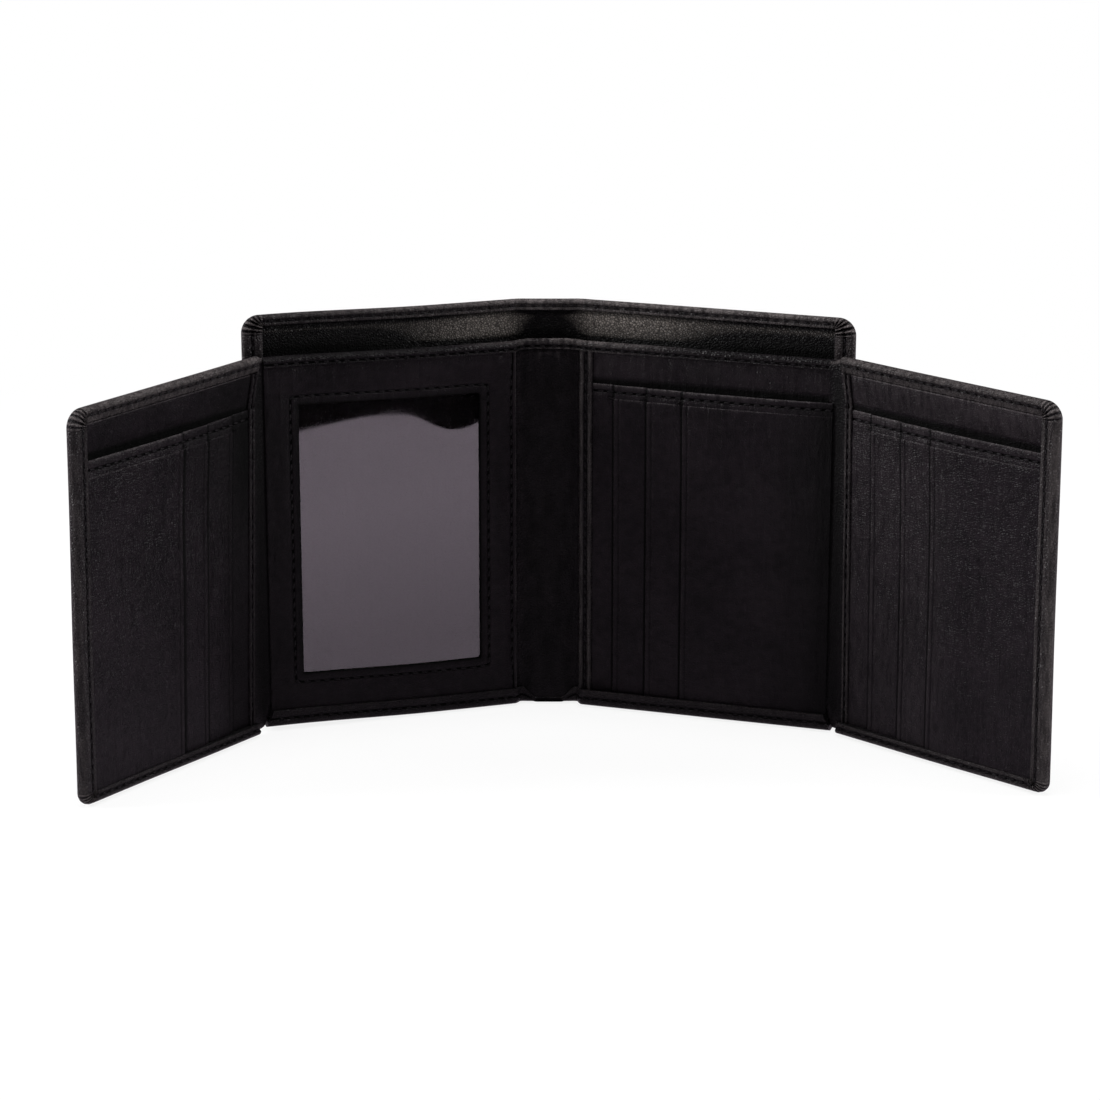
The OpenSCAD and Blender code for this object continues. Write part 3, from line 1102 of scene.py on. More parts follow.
@dataclass
class Cover(SidePart):
    """One side of the cover: outer leather, turned edges, lower flap, lining and seams."""

    face: float
    stitch: Stitch = Stitch(length=1.5)

    def blend(self, obj: bpy.types.Object) -> None:
        """Fix a piece's place in its mesh.

        Args:
            obj: The piece.
        """
        sign, b = self.stand.side.sign, self.stand.bend
        x, y = self.sizes.spine_half, self.sizes.fold_y
        f"{self.side}_half"
        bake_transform(obj)

    def set_skin(self, work: Work, kind: str, finish: Finish) -> None:
        """Set a sheet that runs on round the spine fold."""
        nodes = f"{kind}_{self.side}", f"{kind}_fold_{self.side}", f"{kind}_spine"
        self.blend(work.piece(f"{kind}_{self.side}_skin", self.stand.skin, finish, *nodes))

    def set_seam(self, kind: str, *paths: Sequence[Vector]) -> None:
        """Sew seams that run on round the spine fold.

        Args:
            kind: Sheet that takes the seams.
            *paths: Points along each groove.
        """
        work, name = self.stitch.seam(*paths), f"{kind}_{self.side}_seam"
        nodes = f"{kind}_thread_{self.side}", f"{kind}_thread_spine"
        self.blend(work.piece(name, self.stand.skin, self.finishes.thread, *nodes))

    def front(self, u: float) -> float:
        """Say how deep the lower flap's front lies along the half."""
        low = self.sizes.wall_v + self.sizes.flap_t
        return between(low, self.face + self.sizes.flap_t, smooth(-0.4, 1.3, u))

    def flap_top(self, u: float) -> float:
        """Say how high the lower flap stands, which dies away over the spine."""
        return between(1.5, self.sizes.lower_hem, smooth(-5.0, -0.5, u))

    def build(self) -> None:
        """Build the cover, its seams and its lining."""
        s = self.sizes
        plan = EdgePlan(
            x1=s.half_len, height=s.cover_h, hems=(s.cover_t, s.side_hem, s.cover_hem),
            radii=(s.cover_r, s.cover_r), seams=(0.5, 0.5, 0.58), sinks=(0.0, 0.0, 0.0),
            xs=tuple(skin_lines(s, s.half_len - s.side_hem - 0.5)), pleat=0.5,
            wear_and_shading_levels=self.stand.wear_and_shading.cover_hem,
        )
        work, hem = Work(), plan.hem()
        hem.lay(work, s.depth(s.rim_v), s.depth(0.0), s.depth(s.cover_t))
        self._flap(work)
        work.cut(ALONG, plan.xs[1:])
        work.cut(UP, plan.rises())
        self.set_skin(work, "cover", self.finishes.cover)
        path = hem.seam_path(s.depth(s.rim_v - 0.2))
        top = [p for p in reversed(path) if p.z > s.wall_h - 4.0]
        foot = [
            Vector((u, s.depth(self.front(u) - 0.2), 0.5 * s.lower_hem))
            for u in lines(0.6, s.panel_end - 1.0, 2.0)
        ]
        self.set_seam("cover", top, foot)
        self._lining()

    def _flap(self, work: Work) -> None:
        """Fold the lower edge up over the foot of the inner panels.

        Args:
            work: The cover.
        """
        s = self.sizes
        end = s.panel_end + 1.5
        columns: Columns = []
        for u in skin_lines(s, end):
            # The far end is cut aslant
            slant = 0.45 * smooth(68.0, end, u)
            rows = self._flap_section(u)
            columns.append([(Vector((u - slant * z, s.depth(v), z)), rub_and_shading) for z, v, rub_and_shading in rows])
        work.tube(columns)

    def _flap_section(self, u: float) -> list[Row]:
        """Draw the flap's section, up its front, over its top and down its back.

        Args:
            u: Distance from the fold line.

        Returns:
            Height, depth and rub of each row, ending where it starts.
        """
        f, top = self.front(u), self.flap_top(u)
        wear_and_shading, groove = self.stand.wear_and_shading.flap
        r = min(1.2, 0.6 * top)
        around = [(1.0, 1.2, 0.0), (0.03, 1.0, 0.0), (0.0, 0.5 * f, 0.0), (0.0, f - r, 0.1)]
        for n in range(1, 5):
            a = math.pi / 2.0 * n / 5.0
            around.append((r - r * math.cos(a), f - r + r * math.sin(a), 0.3))
        around.append((r, f, 0.2))
        pressed = Groove().rows(0.5 * top, 0.1, 0.15, smooth(1.6, 4.0, top))
        around += [(z, f - deep, rub_and_shading) for z, deep, rub_and_shading in pressed]
        # Painted highlight with wear on the rounded top, and painted shade under it
        around += [
            (top - 0.4, f, 0.3), (top - 0.1, f - 0.06, 0.6), (top, f - 0.25, 0.0),
            (top, f - 0.75, -0.8), (min(1.3, 0.8 * top), f - 0.75, 0.0), (1.0, 1.2, 0.0),
        ]
        return [(min(z, top), v, rub_and_shading * (wear_and_shading if rub_and_shading > 0.0 else groove)) for z, v, rub_and_shading in around]

    def _lining(self) -> None:
        """Lay the lining inside the banknote compartment, a little slack."""
        s, wear_and_shading = self.sizes, self.stand.wear_and_shading
        zs = lines(s.cover_t, 100.0, 12.0) + lines(100.0, 107.0, 2.4)[1:]
        zs += lines(107.0, s.cover_h - s.cover_hem + 0.2, 1.0)[1:]
        columns: Columns = []
        for u in skin_lines(s, s.half_len - s.side_hem):
            top, foot = wear_and_shading.lining_top.at(u), wear_and_shading.lining_foot.at(u)
            # Painted light towards the top and the spine, and painted shade over the spine and
            # along the edges above and below
            shade = 0.88 * smooth(4.0, -6.0, u)
            slack = 0.16 * smooth(-8.0, -4.0, u)
            columns.append([])
            for z in zs:
                loose = slack * noise.noise(Vector((u / 14.0, z / 17.0, 2.2)))
                up = min(1.0, max(0.0, (z - 109.0) / 6.7))
                painted_dim = max(0.45 * smooth(115.4, 116.4, z), 0.5 * smooth(110.2, 108.9, z))
                rub_and_shading = between(foot, top, up) * (1.0 - shade) - 0.7 * shade * (1.0 - up)
                rub_and_shading -= painted_dim * (0.6 + max(0.0, rub_and_shading))
                columns[-1].append((Vector((u, s.depth(s.lining_v) + loose, z)), rub_and_shading))
        self.set_skin(Work().sheet(columns, LINING_T), "lining", self.finishes.lining)


@dataclass
class NoteWall:
    """One side of the inner wall, with its top edge turned over towards the reader."""

    cover: Cover
    face: float
    crown: float = 1.15

    def front(self, u: float) -> float:
        """Say how deep the turned edge's front lies along the half."""
        s = self.cover.sizes
        return between(s.wall_v, self.face, smooth(-0.6, 1.5, u)) + s.flap_t

    def high(self, u: float) -> float:
        """Say how high the wall stands, which arches a little over the spine."""
        return self.cover.sizes.wall_h + 0.6 * smooth(2.0, -5.0, u)

    def swell(self, u: float) -> float:
        """Say how far the wall stands forward over the spine."""
        return 0.55 * smooth(0.3, -5.5, u)

    def seam_z(self) -> float:
        """Say how high the seam lies away from the spine."""
        return self.cover.sizes.wall_h - 0.6 * self.cover.sizes.wall_hem - 0.25

    def section(self, u: float) -> list[Row]:
        """Draw the wall's section, up its back, over the top and down its front.

        Args:
            u: Distance from the fold line.

        Returns:
            Height, depth and rub of each row, ending where it starts.
        """
        s, worn_and_lit = self.cover.sizes, self.cover.stand.wear_and_shading
        f, out = self.front(u), self.swell(u)
        top = s.wall_h - self.crown
        rows = [(z, s.wall_v0, 0.0) for z in lines(s.cover_t, top, 9.0)]
        mid, r = (s.wall_v0 + f) / 2.0, (f - s.wall_v0) / 2.0
        # The crown is painted light as a highlight with its wear
        for n in range(1, 10):
            a = math.pi - math.pi * n / 9.0
            rub_and_shading = 1.0 if 3 <= n <= 7 else 0.4
            rows.append((top + self.crown * math.sin(a), mid + r * math.cos(a), rub_and_shading))
        low = s.wall_h - s.wall_hem
        pressed = Groove(shoulder=0.38, depth=0.36).rows(self.seam_z(), 0.2, 0.15)
        rows += [(z, f - deep, rub_and_shading) for z, deep, rub_and_shading in reversed(pressed)]
        # Painted shade under the turned edge's lower line
        rows += [
            (low + 0.25, f - 0.02, 0.6), (low + 0.06, f - 0.14, 0.4), (low, f - 0.35, -0.6),
            (low, f - 0.74, -1.0), (low + 0.6, f - 0.74, -1.0), (low + 0.6, s.wall_v, -1.0),
            (low - 0.3, s.wall_v, -0.8), (low - 1.1, s.wall_v, 0.0),
        ]
        rows += [(z, s.wall_v, 0.0) for z in lines(low - 3.0, s.cover_t, 4.0)]
        rise = self.high(u) - s.wall_h
        wear_and_shading, dark = worn_and_lit.wall.at(u), worn_and_lit.wall_groove
        # Painted light over the turned edge above its lower line, where its groove is painted less
        # dark
        glow = 0.2 * (1.0 - dark)
        shown = []
        for z, v, rub_and_shading in rows + rows[:1]:
            rub_and_shading = rub_and_shading * (wear_and_shading if rub_and_shading > 0.0 else dark) + glow * smooth(low - 0.2, low + 0.2, z)
            shown.append((z + rise * smooth(80.0, 104.0, z), v + out, rub_and_shading))
        return shown

    def build(self) -> None:
        """Build the wall and its seam."""
        cover, s = self.cover, self.cover.sizes
        columns: Columns = []
        for u in skin_lines(s, s.panel_end):
            columns.append([])
            for z, v, rub_and_shading in self.section(u):
                # Gathered at the top of the spine with painted light and shade on the gathers, and
                # painted shade below that
                gathered = smooth(3.0, -1.0, u) * smooth(96.0, 106.0, z)
                crinkle = noise.noise(Vector((u / 1.3, z / 2.6, 4.0))) * gathered
                fleck = noise.noise(Vector((u / 2.3, z / 3.1, 8.0)))
                dark = smooth(0.6, -2.0, u) * smooth(106.0, 101.0, z) * (0.4 + 0.5 * fleck)
                place = Vector((u, s.depth(v - 0.16 * crinkle), z))
                columns[-1].append((place, rub_and_shading + 0.5 * crinkle - dark))
        cover.set_skin(Work().tube(columns), "note_wall", cover.finishes.cover)
        drop = s.wall_h - self.seam_z()
        cover.set_seam("note_wall", [
            Vector((u, s.depth(self.front(u) + self.swell(u) - 0.2), self.high(u) - drop))
            for u in lines(-s.spine_half + 0.3, s.panel_end - 0.8, 0.8)
        ])


@dataclass
class IdWindow(SidePart):
    """The identity window: a leather frame with a clear film behind it."""

    u: Point = (12.0, 64.6)
    z: Point = (15.0, 94.5)
    r: float = 0.9
    inset: float = 2.45
    edge: float = 1.45
    stitch: Stitch = Stitch()

    def loops(self) -> tuple[list[Point], list[Point]]:
        """Draw the frame's outline and the window's, point for point.

        Returns:
            The outer loop and the window's loop, each ending where it starts.
        """
        s, r = self.sizes, self.r
        (u0, u1), (z0, z1) = self.u, self.z
        a0, a1, b0, b1 = s.panel_u, s.panel_end, s.cover_t, s.panel_top
        outer: list[Point] = []
        window: list[Point] = []
        us, zs = lines(u0 + r, u1 - r, 3.3), lines(z0 + r, z1 - r, 3.3)
        corner = 13

        def add(o: Sequence[Point], w: Sequence[Point]) -> None:
            """Add a stretch of both loops."""
            outer.extend(o[1:] if outer else o)
            window.extend(w[1:] if window else w)

        def turn(a: Point, b: Point, c: Point, centre: Point, first: float) -> None:
            """Add a corner of both loops."""
            add(elbow(a, b, c, corner), arc(centre, r, first, first + 90.0, corner))

        add([(u, b0) for u in us], [(u, z0) for u in us])
        turn((u1 - r, b0), (a1, b0), (a1, z0 + r), (u1 - r, z0 + r), -90.0)
        add([(a1, z) for z in zs], [(u1, z) for z in zs])
        turn((a1, z1 - r), (a1, b1), (u1 - r, b1), (u1 - r, z1 - r), 0.0)
        add([(u, b1) for u in reversed(us)], [(u, z1) for u in reversed(us)])
        turn((u0 + r, b1), (a0, b1), (a0, z1 - r), (u0 + r, z1 - r), 90.0)
        add([(a0, z) for z in reversed(zs)], [(u0, z) for z in reversed(zs)])
        turn((a0, z0 + r), (a0, b0), (u0 + r, b0), (u0 + r, z0 + r), 180.0)
        return outer, window

    def build(self) -> None:
        """Build the frame, the film and the seams."""
        s = self.sizes
        outer, window = self.loops()
        front, back = s.depth(s.frame_v), s.depth(s.frame_v - 0.62)
        # Distance, depth, and rub with painted shading from the window's edge outwards, then from
        # beside the free edge's seam to that edge, with a bowed rail between them; both edges are
        # painted dark as shade
        near = [
            (0.0, back, -1.0), (0.0, front + 0.14, -0.9), (0.1, front + 0.03, -0.8),
            (0.4, front, -0.4),
        ]
        near += [(d, front + deep, rub_and_shading) for d, deep, rub_and_shading in Groove().rows(self.inset)]
        pressed = reversed(Groove(half=0.55, depth=0.32).rows(self.edge))
        far = [(d, front + deep, rub_and_shading) for d, deep, rub_and_shading in pressed]
        far += [
            (0.4, front + 0.01, 0.3), (0.12, front + 0.1, 0.6), (0.0, front + 0.3, -0.3),
            (0.0, back, -1.0),
        ]
        columns: Columns = []
        for o, w in zip(outer, window):
            width, square = math.dist(o, w), max(abs(o[0] - w[0]), abs(o[1] - w[1]))
            free = smooth(s.panel_u + 0.5, s.panel_u, o[0])
            rows = [(d / square, y, rub_and_shading) for d, y, rub_and_shading in near]
            d0, d1 = near[-1][0] * width / square, width - far[0][0]
            for part in (0.3, 0.5, 0.7):
                bow = 0.2 * math.sin(math.pi * part)
                rows.append((between(d0, d1, part) / width, front - bow, 0.0))
            for d, y, rub_and_shading in far:
                # The seam's groove is only along the free edge
                if abs(d - self.edge) < 0.4:
                    y = between(front, y, free)
                rows.append((1.0 - d / width, y, rub_and_shading * free))
            columns.append([])
            for t, y, rub_and_shading in rows + rows[:1]:
                u, z = along(w, o, t)
                # Painted shade over the frame, darker towards its outer end and less at the top
                painted_dim = (0.15 + 0.25 * smooth(58.0, 68.0, u)) * (1.0 - 0.7 * smooth(92.0, 100.0, z))
                columns[-1].append((Vector((u, y, z)), rub_and_shading - painted_dim))
        work = Work()
        work.weld(work.lattice(columns))
        self._set(work, "id_frame_leather", self.finishes.pocket, "id_frame")
        self._film()
        round_window = []
        for o, w in zip(outer, window):
            u, z = along(w, o, self.inset / max(abs(o[0] - w[0]), abs(o[1] - w[1])))
            round_window.append(Vector((u, front + 0.18, z)))
        free_edge = [
            Vector((s.panel_u + self.edge, front + 0.18, z))
            for z in lines(s.lower_hem + 0.5, s.wall_h - s.wall_hem - 0.5, 2.0)
        ]
        for name, path in (("id_window", round_window), ("id_edge", free_edge)):
            seam = self.stitch.seam(path)
            self._set(seam, f"{name}_seam", self.finishes.thread, f"{name}_thread")

    def _set(self, work: Work, name: str, finish: Finish, node: str) -> None:
        """Set a leather piece or a seam on the half."""
        work.ride(f"{self.side}_half", name, self.stand.half, finish, node)

    def _film(self) -> None:
        """Lay the clear film behind the frame, not quite flat."""
        over, flat = 3.0, self.sizes.depth(self.sizes.frame_v - 0.7) + 0.05
        zs = lines(self.z[0] - over, self.z[1] + over, 1.4)
        columns: Columns = []
        for u in lines(self.u[0] - over, self.u[1] + over, 1.4):
            bend = 0.013 * math.exp(-(((u - 18.8) / 9.0) ** 2))
            columns.append([])
            for z in zs:
                wave = 0.03 * noise.noise(Vector((u / 19.0, z / 26.0, 4.4)))
                curl = bend * max(0.0, z - 76.0) ** 2 / 14.0
                place = Vector((u, flat + wave + curl, z + self.stand.level(u)))
                columns[-1].append((place, 0.0))
        film, body = Work().sheet(columns, FILM_T), f"{self.side}_half"
        film.ride(body, "id_film_sheet", self.stand.rigid, self.finishes.film, "id_film")


@dataclass
class CardBank:
    """Card pockets that open towards the fold, with a slip pocket behind them.

    The slip pocket's edge lies at slip_z, and the card pockets end hem below it.
    """

    prefix: str
    panel_node: str
    body: str
    place: Place
    finishes: Finishes
    slots: tuple[float, float, float]
    x0: float
    x1: float
    foot: float
    top: float
    base: float
    panel_h: float
    rise: float
    gape: float
    gape_at: float
    seed: float
    slip_z: float = 96.6
    hem: float = 5.4
    layer: float = 0.4
    trim_w: float = 3.4
    trim_in: float = 0.0
    seam_drop: float = 3.3
    tone: Tone = Tone()
    stitch: Stitch = Stitch()

    def forward(self, z: float) -> float:
        """Say how far the panel comes forward to meet the edge above it."""
        return self.rise * smooth(self.slip_z - 1.0, self.top + 1.5, z) ** 0.8

    def swell(self, x: float, z: float) -> float:
        """Say how far the pockets stand off the panel, most where the slip pocket gapes.

        Args:
            x: Distance from the fold.
            z: Height.

        Returns:
            The distance.
        """
        t = min(1.0, max(0.0, (x - self.x0 - self.trim_w) / (self.x1 - self.x0 - self.trim_w)))
        bell = math.sin(math.pi * t ** self.gape_at) ** 0.7
        soft = 0.14 * noise.noise(Vector((x / 17.0, z / 29.0, self.seed)))
        return self.gape * bell * smooth(70.0, self.slip_z, z) + soft * math.sin(math.pi * t) ** 0.5

    def stack(self, x: float) -> float:
        """Say how high the card pockets stack under the slip pocket's edge."""
        return self.layer * sum(smooth(s - 0.15, s + 0.4, x) for s in self.slots)

    def build(self) -> None:
        """Build the panel, the pockets, the trim and the seams."""
        self._panel()
        self._slip()
        for i in range(3):
            self._card(i)
        self._trim()

    def _set(self, work: Work, name: str, finish: Finish, *nodes: str) -> None:
        """Set a piece on the bank's body."""
        work.ride(self.body, name, self.place, finish, *nodes)

    def _panel(self) -> None:
        """Lay the panel that shows above the slip pocket."""
        edge, high = self.slip_z, self.panel_h
        zs = lines(self.foot, edge - 3.0, 8.0)
        zs += [edge + d for d in (-1.0, -0.2, 0.4, 0.9, 1.5, 2.2)]
        zs += lines(edge + 3.0, high - 0.6, 1.2)
        # Height, depth and whether it is rubbed and painted light as a highlight, with the top edge
        # rounded off
        rows = [(z, 0.0, False) for z in zs]
        rows += [(high - 0.3, 0.02, True), (high - 0.1, 0.1, True), (high, 0.3, False)]
        columns: Columns = []
        for x in lines(self.x0, self.x1, 2.4):
            columns.append([])
            for z, sunk, rubbed_and_lit in rows:
                soft = 0.1 * noise.noise(Vector((x / 9.0, z / 13.0, self.seed + 3.0)))
                # Painted shade beside the fold and just above the slip pocket's edge, with the
                # strip's painted light
                painted_dim = 0.6 * self.tone.shade * smooth(34.0, 8.0, x)
                rub_and_shading = 0.8 if rubbed_and_lit else -max(painted_dim, smooth(edge + 2.2, edge + 0.9, z))
                rub_and_shading += self.tone.strip * (0.5 + 0.5 * smooth(edge + 1.0, high, z))
                y = self.base - self.forward(z) - soft + sunk
                columns[-1].append((Vector((x, y, z)), rub_and_shading))
        work = Work().sheet(columns, PANEL_T)
        self._set(work, f"{self.panel_node}_leather", self.finishes.pocket, self.panel_node)

    def _slip(self) -> None:
        """Lay the slip pocket, whose edge steps up over the card pockets."""
        xs = [s + d for s in self.slots for d in (-0.8, -0.45, -0.15, 0.15, 0.45)]
        z1, seam_z = self.slip_z, self.slip_z - self.seam_drop
        low = z1 - self.hem
        # Height, how much of the step over the pockets there is, depth, and rub with painted
        # shading
        rows = [(z, 0.0, 0.0, 0.0) for z in lines(self.foot, low - 3.0, 7.0)]
        rows += [(low - 1.5, 0.9, 0.0, 0.0), (low, 1.0, 0.0, 0.0)]
        pressed = Groove(dip=0.07, depth=0.32).rows(seam_z)
        rows += [(z, 1.0, deep, rub_and_shading) for z, deep, rub_and_shading in pressed]
        # The slip pocket's edge is painted light as a highlight with its wear
        rows += [
            (z1 - 1.0, 1.0, -0.06, 0.1), (z1 - 0.45, 1.0, -0.04, 0.3), (z1 - 0.15, 1.0, 0.08, 0.8),
            (z1, 1.0, 0.3, 0.8), (z1 - 0.05, 1.0, 0.55, 0.0),
        ]
        columns: Columns = []
        for x in sorted(set(lines(self.x0 + 0.3, self.x1, 1.3) + xs)):
            columns.append([])
            for z, step, sunk, rub_and_shading in rows:
                h = 0.62 + step * (self.stack(x) - 0.1) - sunk + self.swell(x, z)
                steps = self.slots if step == 1.0 else self.slots[:1]
                # Painted shade beside each pocket's opening
                painted_dim = max(smooth(s - 0.8, s - 0.2, x) * smooth(s + 0.5, s + 0.1, x) for s in steps)
                columns[-1].append((Vector((x, self.base - h, z)), rub_and_shading - painted_dim + self.tone.at(x, z)))
        work, node = Work().sheet(columns, POCKET_T), f"{self.prefix}slip_pocket"
        self._set(work, f"{node}_leather", self.finishes.pocket, node)
        path = [
            Vector((x, self.base - 0.36 - self.stack(x) - self.swell(x, seam_z), seam_z))
            for x in lines(self.x0 + self.trim_w + 0.8, self.x1 - 0.6, 0.7)
        ]
        self._set(self.stitch.seam(path), f"{node}_seam", self.finishes.thread)

    def _card(self, i: int) -> None:
        """Lay one card pocket, with its opening edge turned and creased.

        Args:
            i: Number of the pocket, from the deepest.
        """
        s = self.slots[i]
        level = 0.65 + self.layer * (i + 1)
        # Distance along, depth, and rub with painted shading of the turned edge and the crease
        # beside it; the opening is painted dark as shade
        edge = (
            (0.3, 0.4, -1.0), (0.0, 0.2, -0.8), (0.06, 0.07, -0.2), (0.22, 0.0, 0.12),
            (0.7, -0.05, 0.05), (1.25, -0.02, 0.0), (1.42, 0.1, -0.35), (1.62, 0.1, -0.2),
            (1.8, 0.0, 0.05), (2.6, 0.0, 0.0),
        )
        columns = [(s + d, sunk, rub_and_shading) for d, sunk, rub_and_shading in edge]
        if i < 2:
            n, gap = self.slots[i + 1], self.tone.gaps[i]
            columns += [(x, 0.0, 0.0) for x in lines(s + 2.6, n - 0.8 * gap, 2.6)[1:]]
            # Painted shade as a dark line before the next pocket's opening
            columns += [
                (n - 0.5 * gap, 0.0, -0.8), (n - 0.2 * gap, 0.06, -1.0), (n + 0.6, 0.06, -1.0)
            ]
            columns += [(x, 0.0, 0.0) for x in lines(n + 2.0, self.x1, 3.0)]
        else:
            columns += [(x, 0.0, 0.0) for x in lines(s + 2.6, self.x1, 2.6)[1:]]
        top = self.slip_z - self.hem
        rows = [(z, 0.0, 0.0) for z in lines(self.foot, top - 1.0, 2.8)]
        # The top edge is painted light as a highlight with its wear
        rows += [(top - 0.4, 0.0, 0.1), (top - 0.14, 0.04, 0.45)]
        rows += [(top, 0.16, 0.35), (top - 0.02, 0.36, 0.0)]
        grid: Columns = []
        for x, sunk, rub_and_shading in columns:
            grid.append([])
            for z, dip, worn_and_lit in rows:
                h = level - max(sunk, dip, sunk + dip) + self.swell(x, z)
                grid[-1].append((Vector((x, self.base - h, z)), rub_and_shading + worn_and_lit + self.tone.at(x, z)))
        work, node = Work().sheet(grid, POCKET_T), f"{self.prefix}card_pocket_{i + 1}"
        self._set(work, f"{node}_leather", self.finishes.pocket, node)

    def _trim(self) -> None:
        """Lay the trim strip, sewn down its middle, that covers the pockets' ends."""
        low, high, edge = self.foot, self.top, self.slip_z
        zs = lines(low, edge - 1.0, 1.6) + [edge - 0.5, edge, edge + 0.5]
        zs += lines(edge + 1.0, high, 1.4)
        wide = (self.trim_w - self.trim_in) / 2.0
        mid = self.trim_in + wide
        # Half the section from the seam outwards: part of the width, height, and rub with painted
        # shading
        half = (
            (0.06, 0.7, -0.6), (0.16, 0.86, -0.5), (0.27, 1.1, 0.1), (0.46, 1.26, 0.3),
            (0.68, 1.22, 0.27), (0.87, 0.98, 0.12), (1.0, 0.55, -0.3), (1.0, 0.05, -1.0),
        )
        section = [(mid - d * wide, h, rub_and_shading) for d, h, rub_and_shading in reversed(half)]
        section += [(mid + d * wide, h, rub_and_shading) for d, h, rub_and_shading in half]
        section.append(section[0])

        def over(z: float) -> float:
            """Say how much lower the strip lies above the slip pocket's edge."""
            return 0.5 * smooth(edge - 0.3, edge + 0.6, z)

        columns: Columns = []
        for d, h, rub_and_shading in section:
            # Painted highlights on the ridges are dimmed where the fold is in shade
            rub_and_shading *= 1.0 - self.tone.shade if rub_and_shading > 0.0 else 1.0
            columns.append([])
            for z in zs:
                crinkle = 0.07 * noise.noise(Vector((d / 0.9, z / 1.9, self.seed + 8.0)))
                lift = h if h < 0.1 else max(0.1, h - over(z) + crinkle)
                place = Vector((self.x0 + d, self.base - self.forward(z) - lift, z))
                columns[-1].append((place, rub_and_shading))
        work, name = Work().tube(columns), f"{self.prefix}trim"
        self._set(work, f"{name}_leather", self.finishes.cover, f"{name}_strip")
        path = [
            Vector((self.x0 + mid, self.base - self.forward(z) - 0.78 + over(z), z))
            for z in lines(low + 3.0, high - 0.6, 1.0)
        ]
        seam = self.stitch.seam(path)
        self._set(seam, f"{name}_seam", self.finishes.thread, f"{name}_thread")


@dataclass
class Wing(SidePart):
    """One wing: outer leather with turned edges, a seam, and a bank of card pockets."""

    slots: Row = (11.3, 22.2, 32.6)
    stitch: Stitch = Stitch(length=1.5)

    def build(self) -> None:
        """Build the outer leather, the seam and the pockets."""
        s, name, place = self.sizes, f"{self.side}_wing", self.stand.wing
        xs = tuple(lines(s.wing_x, s.wing_len - s.tip_hem - 0.5, 3.0))
        plan = EdgePlan(
            x1=s.wing_len, height=s.wing_h, hems=(s.foot_hem, s.tip_hem, s.wing_hem),
            radii=(s.tip_foot_r, s.tip_top_r), seams=(0.57, 0.65, 0.46), sinks=(0.35, 0.3, 1.0),
            xs=xs, pleat=0.25, wear_and_shading_levels=self.stand.wear_and_shading.wing_hem,
        )
        work, hem = Work(), plan.hem()
        hem.lay(work, 0.0, s.wing_t, s.wing_board)
        work.cut(ALONG, xs[1:])
        work.cut(UP, plan.rises())
        work.ride(name, f"{name}_leather", place, self.finishes.cover, f"{name}_back")
        seam = self.stitch.seam(hem.seam_path(0.2))
        seam.ride(name, f"{name}_seam", place, self.finishes.thread, f"{name}_thread")
        top = s.wing_h - s.wing_hem
        CardBank(
            prefix=f"{self.side}_", panel_node=f"{name}_panel", body=name, place=place,
            finishes=self.finishes, slots=self.slots, x0=s.wing_x, x1=s.wing_len - s.tip_hem,
            foot=s.foot_hem, top=top, base=s.wing_face, panel_h=top, rise=1.65, gape=0.75,
            gape_at=0.85, seed=1.0 if self.stand.side is Side.LEFT else 6.0, slip_z=95.8, hem=4.6,
            trim_in=0.8, seam_drop=2.6, tone=self.stand.wear_and_shading.pockets,
        ).build()


